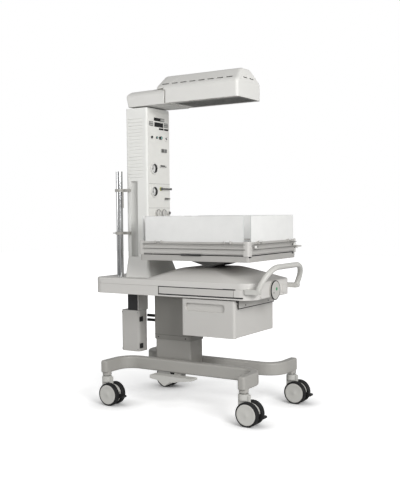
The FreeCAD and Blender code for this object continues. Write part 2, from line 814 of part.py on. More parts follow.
# Cover on the foot end, round the knob's shaft
cover = front(rect(-cover_half_y, cover_half_y, floor_z, shelf_z - 5, 14), foot_x, foot_x + cover_wall)
catch_y0 = cover_half_y - catch_edge - catch_w
cover = cover.fuse(front(rect(catch_y0, catch_y0 + catch_w, console_z0 + catch_up, console_z0 + catch_up + catch_h, 5),
                         foot_x + cover_wall - 1, foot_x + cover_wall + catch_proud))
cover = cover.cut(rod("x", (foot_x - 1, 0, knob_z), knob_shaft_r + run_fit, 20))
save("foot_cover", cover.removeSplitter())

# Push handle
lean = math.radians(handle_lean)


def on_arch(y, s):
    return V(handle_x + s * math.cos(lean), y, handle_z + s * math.sin(lean))


bend = handle_reach - handle_bend_r
corner_y = handle_half_y - handle_bend_r
diag = handle_bend_r * math.sqrt(0.5)
path = Part.Wire([
    Part.LineSegment(on_arch(-handle_half_y, 0), on_arch(-handle_half_y, bend)).toShape(),
    Part.Arc(on_arch(-handle_half_y, bend), on_arch(-corner_y - diag, bend + diag),
             on_arch(-corner_y, handle_reach)).toShape(),
    Part.LineSegment(on_arch(-corner_y, handle_reach), on_arch(corner_y, handle_reach)).toShape(),
    Part.Arc(on_arch(corner_y, handle_reach), on_arch(corner_y + diag, bend + diag),
             on_arch(handle_half_y, bend)).toShape(),
    Part.LineSegment(on_arch(handle_half_y, bend), on_arch(handle_half_y, 0)).toShape(),
])
ring = Part.Wire([Part.Circle(on_arch(-handle_half_y, 0), V(math.cos(lean), 0, math.sin(lean)), handle_r).toShape()])
arch = path.makePipeShell([ring], True, True)
handle = arch
for y in (-handle_half_y, handle_half_y):
    handle = handle.fuse(side([(socket_x0, handle_z - socket_half_z, 4), (handle_x + 14, handle_z - socket_half_z, 10),
                               (handle_x + 19, handle_z + socket_half_z, 8), (socket_x0, handle_z + socket_half_z, 4)],
                              y - socket_half_y, y + socket_half_y))
handle = handle.cut(plan(console_plan, console_z0, shelf_z)).removeSplitter()
save("push_handle", handle)

# Pull-out tray
tray = box(tray_x0, tray_x1, tray_y0, tray_y0 + shell_wall + tray_lip, tray_z0, tray_z1)
tray_in = tray_y0 + shell_wall + tray_lip
tray = tray.fuse(box(tray_x0 + 3, tray_x1 - 3, tray_in - 1, tray_back_y, tray_z0, tray_z1 - 6))
tray = tray.cut(box(tray_x0 + 3 + tray_wall, tray_x1 - 3 - tray_wall, tray_in, tray_back_y - tray_wall,
                    tray_z0 + tray_wall, tray_z1))
save("pull_tray", tray.removeSplitter())

# Drawer and its hangers
in_x0 = drawer_x0 + hanger_wall + part_gap
in_x1 = drawer_x1 - hanger_wall - part_gap
body_x0 = in_x0 + ledge
body_x1 = in_x1 - ledge
back_of_front = drawer_y0 + drawer_front
drawer = plan([(drawer_x0, drawer_y0, 12), (drawer_x1, drawer_y0, 12), (drawer_x1, back_of_front, 0),
               (drawer_x0, back_of_front, 0)], drawer_z0, drawer_z1)
drawer = drawer.cut(side([(grip_x0, grip_z0, grip_r), (grip_x1, grip_z0, grip_r), (grip_x1, grip_z1, grip_r),
                          (grip_x0, grip_z1, grip_r)], drawer_y0 - 1, drawer_y0 + grip_depth))
shell = box(body_x0, body_x1, back_of_front - 1, drawer_y1, drawer_z0, drawer_rim_z + 4)
shell = shell.fuse(box(in_x0, in_x1, back_of_front + 2, drawer_y1, drawer_rim_z, drawer_rim_z + 4))
shell = shell.cut(box(body_x0 + drawer_wall, body_x1 - drawer_wall, back_of_front, drawer_y1 - drawer_wall,
                      drawer_z0 + drawer_wall, drawer_z1))
save("drawer", drawer.fuse(shell).removeSplitter())


def hanger(x_out, sign):
    x_in = x_out + sign * hanger_wall
    ledge_x = x_in + sign * ledge
    web = box(min(x_out, x_in), max(x_out, x_in), hanger_y0, drawer_y1, hanger_z0, console_z0)
    ledge_z = drawer_rim_z - part_gap
    web = web.fuse(box(min(x_in, ledge_x), max(x_in, ledge_x), hanger_y0, drawer_y1, ledge_z - 3, ledge_z))
    for y in (hanger_y0 + screw_front, drawer_y1 - screw_back):
        web = web.fuse(rod("x", (x_out - (screw_deep if sign > 0 else 0), y, drawer_z1 - screw_below), screw_r,
                           screw_deep))
    return web.removeSplitter()


save("drawer_hangers", hanger(drawer_x0, 1), hanger(drawer_x1, -1))

# Tilt post through the roof, with the ears and pin that the bed turns on
post = box(tilt_x - post_half_x, tilt_x + post_half_x, -post_half_y, post_half_y, floor_z, tilt_z - tilt_ear_r)
for y in (-tilt_ear_y1, tilt_ear_y0):
    ear = box(tilt_x - tilt_ear_r, tilt_x + tilt_ear_r, y, y + tilt_ear_y1 - tilt_ear_y0, roof_top - 2, tilt_z)
    post = post.fuse(ear).fuse(rod("y", (tilt_x, y, tilt_z), tilt_ear_r, tilt_ear_y1 - tilt_ear_y0))
post = post.fuse(rod("y", (tilt_x, -tilt_ear_y1, tilt_z), tilt_pin_r, 2 * tilt_ear_y1))
bearing_depth = tilt_x + post_half_x - knob_shaft_x0 + 2
post = post.cut(rod("x", (knob_shaft_x0 - 2, 0, knob_z), knob_shaft_r + run_fit, bearing_depth + 1))
save("tilt_post", post.removeSplitter())

# Tilt knob on its long shaft
knob = rod("x", (knob_x0, 0, knob_z), knob_r, knob_x1 - knob_x0)
knob = knob.makeChamfer(2.5, [e for e in knob.Edges if e.BoundBox.XMin > knob_x1 - 0.1])
knob = knob.fuse(rod("x", (knob_shaft_x0, 0, knob_z), knob_shaft_r, knob_x0 - knob_shaft_x0 + 1))
save("tilt_knob", knob.removeSplitter())

# Bed: yoke, pan, rails, posts, deck, mattress
yoke_z0 = tilt_z + tilt_ear_r + 1
lug_half = tilt_ear_y0 - 0.5
lug_r = tilt_ear_r - 0.5
steepest = math.radians(tilt_limit)
roof_under_pivot = tilt_z - roof_top - tilt_clear


def yoke_reach(z):
    """How far from the pivot the yoke may reach at height z and still clear the roof at full tilt."""
    return ((z - tilt_z) * math.cos(steepest) + roof_under_pivot) / math.sin(steepest)


yoke_low = yoke_reach(yoke_z0)
yoke_edge_z = tilt_z + (yoke_half_x * math.sin(steepest) - roof_under_pivot) / math.cos(steepest)
yoke = levels([
    (rect(tilt_x - yoke_low, tilt_x + yoke_low, -yoke_low_half_y, yoke_low_half_y, 20), yoke_z0),
    (rect(tilt_x - yoke_half_x, tilt_x + yoke_half_x, -yoke_half_y, yoke_half_y, 20), yoke_edge_z),
    (rect(tilt_x - yoke_half_x, tilt_x + yoke_half_x, -yoke_half_y, yoke_half_y, 20), pan_z0)])
yoke = yoke.fuse(box(tilt_x - lug_r, tilt_x + lug_r, -lug_half, lug_half, tilt_z, yoke_z0 + 1))
yoke = yoke.fuse(rod("y", (tilt_x, -lug_half, tilt_z), lug_r, 2 * lug_half))
yoke = yoke.cut(rod("y", (tilt_x, -lug_half - 1, tilt_z), tilt_pin_r + run_fit, 2 * lug_half + 2))
save("tilt_yoke", yoke.removeSplitter())

pan_x0 = bed_x0 + pan_inset
pan_x1 = bed_x1 - pan_inset
pan_half_y = bed_half_y - pan_inset
pan_plan = rect(pan_x0, pan_x1, -pan_half_y, pan_half_y, pan_corner_r)
pan = plan(pan_plan, pan_z0, pan_z1).cut(plan(inset(pan_plan, pan_wall), pan_z0 + pan_wall, pan_z1 + 1))
post_in_x0 = bed_x0 + post_side
post_in_x1 = bed_x1 - post_side
post_in_y = bed_half_y - post_side
for x0, x1 in ((pan_x0, post_in_x0), (post_in_x1, pan_x1)):
    for y0, y1 in ((-pan_half_y, -post_in_y), (post_in_y, pan_half_y)):
        foot = plan(pan_plan, pan_z0, pan_z1).common(box(x0, x1, y0, y1, pan_z0, pan_z1))
        pan = pan.fuse(foot)
save("bed_pan", pan.removeSplitter())


def rail_profile(face, out):
    """Outline of the rail extrusion: face is its outer face and out is +1 or -1 along that face's normal."""
    outer = [(face - out * depth, rail_z0 + up, 0) for depth, up in rail_face]
    top = face - out * rail_face[-1][0]
    return outer + [(top, rail_z1, 0), (face - out * rail_thick, rail_z1, 0), (face - out * rail_thick, rail_z0, 0)]


def hinge_parts(along, centre):
    """One wall hinge at the rail's top outer edge, on the near side or the foot end.
    Gives the ears and pin that stay on the rail, and the knuckle with its web that stays on the wall."""
    half = hinge_len / 2
    if along == "x":
        face, out, stand = -bed_half_y, -1, hinge_out
    else:
        face, out, stand = bed_x1, 1, foot_hinge_out
    axis_at = face + out * stand
    axis_z = rail_z1 + hinge_up

    def bar(lo, hi, z_lo, z_hi, c0, c1):
        a, b = min(lo, hi), max(lo, hi)
        if along == "x":
            return box(c0, c1, a, b, z_lo, z_hi)
        return box(a, b, c0, c1, z_lo, z_hi)

    def pin(r, c0, c1):
        if along == "x":
            return rod("x", (c0, axis_at, axis_z), r, c1 - c0)
        return rod("y", (axis_at, c0, axis_z), r, c1 - c0)

    ears = []
    for c0 in (centre - half - part_gap - hinge_ear, centre + half + part_gap):
        block = bar(face - out * 3.2, face + out * (stand + hinge_r), rail_z1 - 8, axis_z, c0, c0 + hinge_ear)
        ears.append(block.fuse(pin(hinge_r, c0, c0 + hinge_ear)))
    pin_solid = pin(hinge_pin_r, centre - half - part_gap - hinge_ear, centre + half + part_gap + hinge_ear)
    fixed = ears[0].fuse(pin_solid).fuse(ears[1])
    wall_face = face - out * wall_inset
    web = bar(wall_face - out * 1, axis_at, rail_z1 + part_gap, axis_z + hinge_r, centre - half, centre + half)
    knuckle = web.fuse(pin(hinge_r, centre - half, centre + half)).cut(
        pin(hinge_pin_r + run_fit, centre - half - 1, centre + half + 1))
    return fixed, knuckle


near_hinge_x = [near_wall_x0 + near_hinge_in, near_wall_x1 - near_hinge_in]
foot_hinge_y = [foot_hinge_in - end_wall_half_y, end_wall_half_y - foot_hinge_in]

near_rail = front(rail_profile(-bed_half_y, -1), post_in_x0, post_in_x1)
foot_rail = side(rail_profile(bed_x1, 1), -post_in_y, post_in_y)
head_rail = side(rail_profile(bed_x0, -1), -post_in_y, post_in_y)
wall_z0 = rail_z1 + part_gap
near_wall = box(near_wall_x0, near_wall_x1, -bed_half_y + wall_inset, -bed_half_y + wall_inset + wall_thick,
                wall_z0, wall_top)
foot_wall = box(bed_x1 - wall_inset - wall_thick, bed_x1 - wall_inset, -end_wall_half_y, end_wall_half_y,
                wall_z0, wall_top)
head_wall = box(bed_x0 + wall_inset, bed_x0 + wall_inset + wall_thick, -end_wall_half_y, end_wall_half_y,
                rail_z1, wall_top)
for x in near_hinge_x:
    fixed, knuckle = hinge_parts("x", x)
    near_rail = near_rail.fuse(fixed)
    near_wall = near_wall.fuse(knuckle)
for y in foot_hinge_y:
    fixed, knuckle = hinge_parts("y", y)
    foot_rail = foot_rail.fuse(fixed)
    foot_wall = foot_wall.fuse(knuckle)
deck = box(bed_x0 + rail_thick, bed_x1 - rail_thick, -bed_half_y + rail_thick, bed_half_y - rail_thick,
           deck_z0, deck_z0 + deck_thick)
for x0, x1 in ((bed_x0, post_in_x0), (post_in_x1, bed_x1)):
    for y0, y1 in ((-bed_half_y, -post_in_y), (post_in_y, bed_half_y)):
        deck = deck.cut(box(x0, x1, y0, y1, rail_z0, rail_z1))
near_rail = near_rail.removeSplitter()
save("bed_rails", near_rail, mirror_y(near_rail), foot_rail.removeSplitter(), head_rail, deck)
near_wall = near_wall.removeSplitter()
save("near_wall", near_wall)
save("far_wall", mirror_y(near_wall))
save("foot_wall", foot_wall.removeSplitter())
for y in (-notch_y, notch_y):
    head_wall = head_wall.cut(box(bed_x0, bed_x0 + wall_inset + wall_thick + 1, y - notch_half, y + notch_half,
                                  wall_top - notch_deep, wall_top + 1))
save("head_wall", head_wall)


def corner_post(x_out, x_in, y_sign):
    y_out = y_sign * bed_half_y
    y_in = y_sign * post_in_y
    post = plan([(x_out, y_out, post_r), (x_in, y_out, 0), (x_in, y_in, 0), (x_out, y_in, 0)], pan_z1,
                rail_z1 + post_rise)
    return post.makeFillet(post_soft_r, edges_at(post, rail_z1 + post_rise))


posts = []
for x_out, x_in in ((bed_x0, post_in_x0), (bed_x1, post_in_x1)):
    for y_sign in (-1, 1):
        posts.append(corner_post(x_out, x_in, y_sign))
lug = box(bed_x1 - 2, lever_x + 5, lever_y - 6, lever_y + 6, lever_z - 6, lever_z - part_gap)
lug = lug.fuse(rod("z", (lever_x, lever_y, lever_z - 5), 3.0, 17))
posts[3] = posts[3].fuse(lug).removeSplitter()
save("corner_posts", *posts)

lever = rod("z", (lever_x, lever_y, lever_z), 5.0, 10).fuse(
    plan([(lever_x, lever_y - 4, 0), (lever_x + lever_len, lever_y - 5, 4), (lever_x + lever_len, lever_y + 5, 4),
          (lever_x, lever_y + 4, 0)], lever_z + 1, lever_z + 9))
lever = lever.cut(rod("z", (lever_x, lever_y, lever_z - 1), 3.0 + run_fit, 20))
save("lock_lever", lever.removeSplitter())

mattress_z0 = deck_z0 + deck_thick + part_gap
mattress_in = rail_thick + mattress_gap
post_in_mattress = post_side - mattress_in
round_post = (post_in_mattress * math.sqrt(2) + 1) / (math.sqrt(2) - 1)
mattress = plan(rect(bed_x0 + mattress_in, bed_x1 - mattress_in, -bed_half_y + mattress_in,
                     bed_half_y - mattress_in, max(mattress_r, round_post)), mattress_z0, mattress_z0 + mattress_thick)
save("mattress", mattress)

cassette_z0 = pan_z1 + part_gap
rim = cassette_rim
cassette = box(cassette_x0, cassette_x1, -cassette_half_y, cassette_half_y, cassette_z0, cassette_z0 + cassette_thick)
cassette = cassette.cut(box(cassette_x0 + rim, cassette_x1 - rim, rim - cassette_half_y, cassette_half_y - rim,
                            cassette_z0 + cassette_thick / 2, cassette_z0 + cassette_thick + 1))
cassette = cassette.fuse(box(cassette_grip_x0, cassette_grip_x1, -bed_half_y - 1, -cassette_half_y + 1,
                             cassette_z0, cassette_z0 + cassette_thick + 0.5))
save("cassette_tray", cassette.removeSplitter())

# Column foot, hollow, flaring to the shelf
foot_top = rect(col_x0 + 1, col_x1 - 1, -col_half_y + 1, col_half_y - 1, col_r)
foot_low = rect(col_x0 + 3, foot_bottom_x1, -foot_bottom_half_y, foot_bottom_half_y, foot_r)
column_foot = levels([(foot_low, shelf_z), (foot_top, col_z0)]).cut(
    levels([(inset(foot_low, shell_wall), shelf_z - 0.01), (inset(foot_top, shell_wall), col_z0 + 0.01)]))
save("column_foot", column_foot)

# Column case
col_plan = rect(col_x0, col_x1, -col_half_y, col_half_y, col_r)
case = plan(col_plan, col_z0, col_top)
case_in = plan(inset(col_plan, col_wall), col_z0 - 1, col_top - col_wall - 1)
for y in (-col_half_y - channel_out, col_half_y + channel_out):
    case = case.cut(rod("z", (channel_x, y, col_z0 - 1), channel_r, channel_h + 1))
    case_in = case_in.cut(rod("z", (channel_x, y, col_z0 - 2), channel_r + col_wall, channel_h + 2 + col_wall))
case = case.cut(case_in)
case = case.cut(box(col_x1 - col_wall - 2, col_x1 + 1, -panel_half_y, panel_half_y, panel_z0, panel_z1))
for i in range(vent_count):
    z = vent_z0 + i * vent_pitch
    for y in (-col_half_y - 1, col_half_y - col_wall - 1):
        case = case.cut(box(vent_x0, vent_x1, y, y + col_wall + 2, z, z + vent_h))
bearing_top = arm_z0 - part_gap
case = case.fuse(rod("z", (swivel_x, 0, arm_z0 - swivel_depth), bearing_r, bearing_top - arm_z0 + swivel_depth))
case = case.cut(rod("z", (swivel_x, 0, arm_z0 - swivel_depth + 4), swivel_r + run_fit, swivel_depth))
save("column_case", case.removeSplitter())

# Control panel and what is on it
panel_x0 = panel_x1 - panel_thick
edge = 0.2
lamps = [(y, button_z) for y in lamp_y]
panel = front(rect(-panel_half_y + edge, panel_half_y - edge, panel_z0 + edge, panel_z1 - edge, 0), panel_x0, panel_x1)


def bore(shape, y, z, r):
    return shape.cut(rod("x", (panel_x0 - 1, y, z), r, panel_thick + 2))


for z in gauge_z:
    panel = bore(panel, gauge_y, z, gauge_body_r)
panel = bore(panel, button_y, button_z, button_r - 2 + run_fit)
for y, z in [(menu_y, menu_z), (valve_y, valve_z)] + [(y, flow_z) for y in flow_y]:
    panel = bore(panel, y, z, knob_spindle_r + run_fit)
save("control_panel", panel)

displays = [box(panel_x1, panel_x1 + screen_proud, y0, y1, panel_z1 - low, panel_z1 - high)
            for y0, y1, low, high in screens]
displays += [rod("x", (panel_x1, y, z), lamp_r, lamp_proud) for y, z in lamps]
save("panel_displays", *displays)

fittings = []
for z in gauge_z:
    body = rod("x", (panel_x1 - gauge_deep, gauge_y, z), gauge_body_r, gauge_deep)
    rim = rod("x", (panel_x1, gauge_y, z), gauge_r, gauge_rim)
    rim = rim.makeFillet(gauge_rim_wall / 2, [e for e in rim.Edges if e.BoundBox.XMin > panel_x1 + gauge_rim - 0.1])
    body = body.fuse(rim).cut(rod("x", (dial_x, gauge_y, z), gauge_body_r - gauge_rim_wall, gauge_recess + gauge_rim + 1))
    body = body.fuse(rod("x", (dial_x - 1, gauge_y, z), needle_pin_r, 1 + 2 * part_gap + needle_thick))
    fittings.append(body.removeSplitter())
fittings.append(front(rect(port_y - port_half_y, port_y + port_half_y, port_z - port_half_z, port_z + port_half_z, 4),
                      panel_x1, panel_x1 + port_proud))
for y0, y1, low, high in side_ports:
    fittings.append(front(rect(y0, y1, panel_z1 - low, panel_z1 - high, 3), panel_x1, panel_x1 + side_port_proud))
fittings.append(rod("x", (panel_x1, stub_y, flow_z), stub_r, stub_proud))
save("panel_fittings", *fittings)

for name, z in (("upper", gauge_z[0]), ("lower", gauge_z[1])):
    x = dial_x + part_gap
    needle = front([(gauge_y - 1.5, z - needle_tail, 0), (gauge_y + 1.5, z - needle_tail, 0),
                    (gauge_y + 0.8, z + needle_len, 0), (gauge_y - 0.8, z + needle_len, 0)], x, x + needle_thick)
    needle = needle.fuse(rod("x", (x, gauge_y, z), needle_hub_r, needle_thick)).cut(
        rod("x", (x - 1, gauge_y, z), needle_pin_r + run_fit, needle_thick + 2))
    save("gauge_needle_" + name, needle.removeSplitter())

cap = rod("x", (panel_x1 + button_travel + part_gap, button_y, button_z), button_r, 4)
stem = rod("x", (panel_x0 - 6, button_y, button_z), button_r - 2, panel_thick + button_travel + 8)
save("push_button", cap.fuse(stem).removeSplitter())


def turn_knob(y, z, r):
    spindle = rod("x", (panel_x0 - 8, y, z), knob_spindle_r, panel_thick + 10)
    return rod("x", (panel_x1 + part_gap, y, z), r, knob_deep).fuse(spindle)


save("menu_knob", turn_knob(menu_y, menu_z, menu_r).removeSplitter())
for name, y in (("left", flow_y[0]), ("right", flow_y[1])):
    grip = box(panel_x1 + part_gap + knob_deep - 1, panel_x1 + part_gap + knob_deep + 9, y - 3.5, y + 3.5,
               flow_z - flow_r + 2, flow_z + flow_r - 2)
    save("flow_knob_" + name, turn_knob(y, flow_z, flow_r).fuse(grip).removeSplitter())
valve = turn_knob(valve_y, valve_z, valve_r)
valve = valve.fuse(box(panel_x1 + 4, panel_x1 + 4 + 8, valve_y, valve_y + valve_lever_len, valve_z - 4, valve_z + 4))
save("valve_lever", valve.removeSplitter())

# Equipment pole and its brackets
pole = rod("z", (pole_x, pole_y, shelf_z), pole_r, pole_top - shelf_z).cut(
    rod("z", (pole_x, pole_y, shelf_z - 1), pole_r - pole_wall, pole_top - shelf_z - 5))
seam = rod("z", (pole_x, pole_y, bracket_z[1] + bracket_h), pole_r + 1, pole_seam_h).cut(
    rod("z", (pole_x, pole_y, bracket_z[1] + bracket_h), pole_r - pole_seam_depth, pole_seam_h))
save("equipment_pole", pole.cut(seam))
brackets = []
for z in bracket_z:
    clamp = rod("z", (pole_x, pole_y, z), pole_r + bracket_wall, bracket_h)
    arm = plan([(pole_x, pole_y + bracket_near, 0), (col_x0 + bracket_root, -col_half_y - bracket_flare, 0),
                (col_x0 + bracket_root, -col_half_y, 0), (pole_x, pole_y + bracket_far, 0)], z, z + bracket_h)
    clamp = clamp.fuse(arm).cut(rod("z", (pole_x, pole_y, z - 1), pole_r, bracket_h + 2))
    brackets.append(clamp.removeSplitter())
pin_z = bracket_z[0] + bracket_h / 2
t_pin = rod("x", (pole_x - pole_r - bracket_wall - 16, pole_y, pin_z), 2.5, 18).fuse(
    rod("y", (pole_x - pole_r - bracket_wall - 16, pole_y - 9, pin_z), 2.5, 18))
brackets[0] = brackets[0].fuse(t_pin.cut(rod("z", (pole_x, pole_y, pin_z - 9), pole_r, 18))).removeSplitter()
brackets[1] = brackets[1].fuse(box(pole_x + pole_r + 2, pole_x + pole_r + 8, pole_y - 4, pole_y + 4,
                                   bracket_z[1] - hook_len, bracket_z[1] + 1)).removeSplitter()
save("pole_brackets", *brackets)

# Service box, its neck up to the shelf, its clips and struts
service = plan(rect(box_x0, box_x1, box_y0, box_y1, box_r), box_z0, box_z1)
inner_box = inset(rect(box_x0, box_x1, box_y0, box_y1, box_r), box_wall)
service = service.cut(plan(inner_box, box_z0 + box_wall, box_z1 - box_wall))
save("service_box", service)
neck = box(neck_x0, box_x1, box_y0 + neck_inset, box_y1 - neck_inset, box_z1, console_z0)
neck = neck.cut(box(neck_x0 + neck_wall, box_x1 - neck_wall, box_y0 + neck_inset + neck_wall,
                    box_y1 - neck_inset - neck_wall, box_z1 - 1, console_z0 + 1))
fixings = [neck]
for z in clip_z:
    fixings.append(box(box_x1, box_x1 + clip_out, box_y0 + 6, box_y0 + 6 + clip_w, z, z + clip_h))
for z in strut_z:
    fixings.append(box(box_x1, lift_x - lift_half_x, box_y1 - 2 - strut_wall, box_y1 - 2, z, z + strut_h))
save("service_fixings", *fixings)

# Arm on the column's swivel
arm_corners = [
    [(arm_x0 + arm_rear_slant, -arm_half_y, 10), (hood_x0, -hood_half_y, 1), (hood_x0, hood_half_y, 1),
     (arm_x0 + arm_rear_slant, arm_half_y, 10)],
    [(arm_x0, -arm_half_y, 10), (hood_x0, -hood_half_y, 1), (hood_x0, hood_half_y, 1), (arm_x0, arm_half_y, 10)],
    [(arm_x0 + arm_top_inset, -arm_half_y + arm_top_inset, 8), (hood_x0, -hood_half_y + arm_top_inset, 1),
     (hood_x0, hood_half_y - arm_top_inset, 1), (arm_x0 + arm_top_inset, arm_half_y - arm_top_inset, 8)],
]
arm_flat_in = arm_top_inset + arm_soft_in
arm_flat = [(arm_x0 + arm_flat_in, -arm_half_y + arm_flat_in, 8), (hood_x0, -hood_half_y + arm_flat_in, 1),
            (hood_x0, hood_half_y - arm_flat_in, 1), (arm_x0 + arm_flat_in, arm_half_y - arm_flat_in, 8)]
arm_low, arm_mid, arm_high = [(arm_corners[0], arm_z0), (arm_corners[1], arm_side_z), (arm_corners[2], arm_top)]
arm = levels([arm_low] + eased(between(arm_mid, arm_low, arm_soft / 2), arm_mid, between(arm_mid, arm_high, arm_soft))
             + eased(between(arm_high, arm_mid, arm_soft), arm_high, (arm_flat, arm_top)))
arm_in = box(arm_x0 + arm_rear_slant + 6, hood_x0 - arm_wall, -arm_half_y + 6, arm_half_y - 6,
             arm_z0 + arm_wall, arm_side_z)
arm = arm.cut(arm_in)
arm = arm.fuse(rod("z", (swivel_x, 0, arm_z0 - swivel_depth + 5), swivel_r, swivel_depth))
save("hood_arm", arm.removeSplitter())

# Hood shell
hood_low = rect(hood_x0, hood_x1, -hood_half_y, hood_half_y, hood_r)
hood_high = rect(hood_top_x0, hood_top_x1, -hood_top_half_y, hood_top_half_y, hood_r)


def hood_form(bottom, low, high):
    below = (low[0], low[1] - hood_crease_soft)
    flat = (inset(high[0], hood_soft_in), high[1])
    return levels([bottom] + eased(below, low, between(low, high, hood_soft))
                  + eased(between(high, low, hood_soft), high, flat))


hood = hood_form((hood_low, hood_z0), (hood_low, hood_crease), (hood_high, hood_top))
hood_low_in = inset(hood_low, hood_wall)
hood_in = hood_form((hood_low_in, hood_z0 - 0.01), (hood_low_in, hood_crease - 1),
                    (inset(hood_high, hood_wall), hood_top - hood_wall))
hood = hood.cut(hood_in)
for i in range(hood_slot_count):
    x = hood_slot_x0 + i * hood_slot_pitch
    for y0, y1 in ((-hood_half_y, -hood_top_half_y), (hood_top_half_y, hood_half_y)):
        hood = hood.cut(box(x, x + hood_slot_len, y0, y1, hood_slot_z, hood_slot_z + hood_slot_h))
for y in end_slot_y:
    hood = hood.cut(box(hood_top_x1 - 10, hood_x1 + 1, y - end_slot_len / 2, y + end_slot_len / 2,
                        hood_slot_z, hood_slot_z + hood_slot_h))
save("hood_shell", hood.removeSplitter())

# Heater tray: the hood's underside and the reflector trough in it
trough_low = rect(heater_x0, heater_x1, -heater_half_y, heater_half_y, 6)
trough_high = inset(trough_low, heater_draft)
tray_plate = plan(inset(hood_low, hood_wall + 0.2), hood_z0, hood_z0 + sheet)
trough = levels([(inset(trough_low, -sheet), hood_z0), (inset(trough_high, -sheet), hood_z0 + heater_rise + sheet)])
trough_in = levels([(trough_low, hood_z0 - 0.01), (trough_high, hood_z0 + heater_rise)])
lamp_x = (hood_x0 + hood_wall + heater_x0 - guard_rim) / 2
lamp_ring = rod("z", (lamp_x, 0, hood_z0 - lamp_proud), lamp_r + lamp_rim, lamp_proud + sheet + lamp_deep)
lamp_well = rod("z", (lamp_x, 0, hood_z0 - lamp_proud - 1), lamp_r, lamp_deep + 1)
heater_tray = tray_plate.fuse(trough).fuse(lamp_ring).cut(trough_in).cut(lamp_well)
save("heater_tray", heater_tray.removeSplitter())

rods = []
rod_inset = heater_draft + part_gap
for y in heater_rod_y:
    rods.append(rod("x", (heater_x0 + rod_inset + heater_block, y, heater_rod_z), heater_rod_r,
                    heater_x1 - heater_x0 - 2 * rod_inset - 2 * heater_block))
for x in (heater_x0 + rod_inset, heater_x1 - rod_inset - heater_block):
    rods.append(box(x, x + heater_block, heater_rod_y[0] - 12, heater_rod_y[-1] + 12, heater_rod_z - 10,
                    hood_z0 + heater_rise))
save("heater_rods", *rods)

guard_half = heater_half_y + guard_rim
guard = box(heater_x0 - guard_rim, heater_x1 + guard_rim, -guard_half, guard_half, hood_z0 - guard_thick, hood_z0)
opening = (2 * heater_half_y - (guard_bars - 1) * guard_bar) / guard_bars
for i in range(guard_bars):
    y = -heater_half_y + i * (opening + guard_bar)
    guard = guard.cut(box(heater_x0, heater_x1, y, y + opening, hood_z0 - guard_thick - 1, hood_z0 + 1))
save("heater_guard", guard)
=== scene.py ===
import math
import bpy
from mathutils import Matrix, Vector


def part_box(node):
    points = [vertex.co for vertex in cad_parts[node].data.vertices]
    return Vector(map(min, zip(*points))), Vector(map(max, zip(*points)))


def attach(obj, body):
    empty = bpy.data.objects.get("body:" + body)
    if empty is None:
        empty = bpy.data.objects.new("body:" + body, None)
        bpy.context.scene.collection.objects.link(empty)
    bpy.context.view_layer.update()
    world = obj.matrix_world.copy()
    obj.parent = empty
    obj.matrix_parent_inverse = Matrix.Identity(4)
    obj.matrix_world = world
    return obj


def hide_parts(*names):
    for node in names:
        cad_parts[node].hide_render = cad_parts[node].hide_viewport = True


bl_info = {
    "name": "Infant warmer dressing",
    "version": (1, 0, 0),
    "blender": (4, 5, 0),
    "location": "3D View > Sidebar > Warmer",
    "description": "Gives the packed infant warmer its finishes, small fittings, mattress and studio",
    "category": "Object",
}

import bmesh
import bpy
from bpy.props import FloatProperty, FloatVectorProperty, IntProperty, PointerProperty
from mathutils import Matrix, Vector

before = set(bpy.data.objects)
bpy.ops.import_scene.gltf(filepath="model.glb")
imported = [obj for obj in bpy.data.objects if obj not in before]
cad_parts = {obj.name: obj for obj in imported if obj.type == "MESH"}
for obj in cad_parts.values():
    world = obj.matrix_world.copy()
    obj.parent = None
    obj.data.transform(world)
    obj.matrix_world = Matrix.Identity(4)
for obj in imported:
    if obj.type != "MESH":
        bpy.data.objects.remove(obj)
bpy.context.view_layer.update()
MM = 0.001
CASTERS = ("near_head", "far_head", "near_foot", "far_foot")


def linear(hex_colour):
    """A colour written as sRGB hex, in the linear values that Blender keeps."""
    channels = []
    for i in (0, 2, 4):
        c = int(hex_colour[i:i + 2], 16) / 255
        channels.append(c / 12.92 if c <= 0.04045 else ((c + 0.055) / 1.055) ** 2.4)
    return tuple(channels)


def rgba(colour):
    return (colour[0], colour[1], colour[2], 1.0)


# Sizes and colours that a user would change
def colour_setting(name, description, hex_colour):
    return FloatVectorProperty(name=name, description=description, subtype="COLOR", min=0, max=1,
                               default=linear(hex_colour))


def length_setting(name, description, millimetres):
    return FloatProperty(name=name, description=description, unit="LENGTH", default=millimetres * MM)


def angle_setting(name, description, degrees):
    return FloatProperty(name=name, description=description, subtype="ANGLE", default=math.radians(degrees))


def power_setting(name, description, watts):
    return FloatProperty(name=name, description=description, unit="POWER", default=watts)


def share_setting(name, description, share):
    return FloatProperty(name=name, description=description, default=share, min=0)


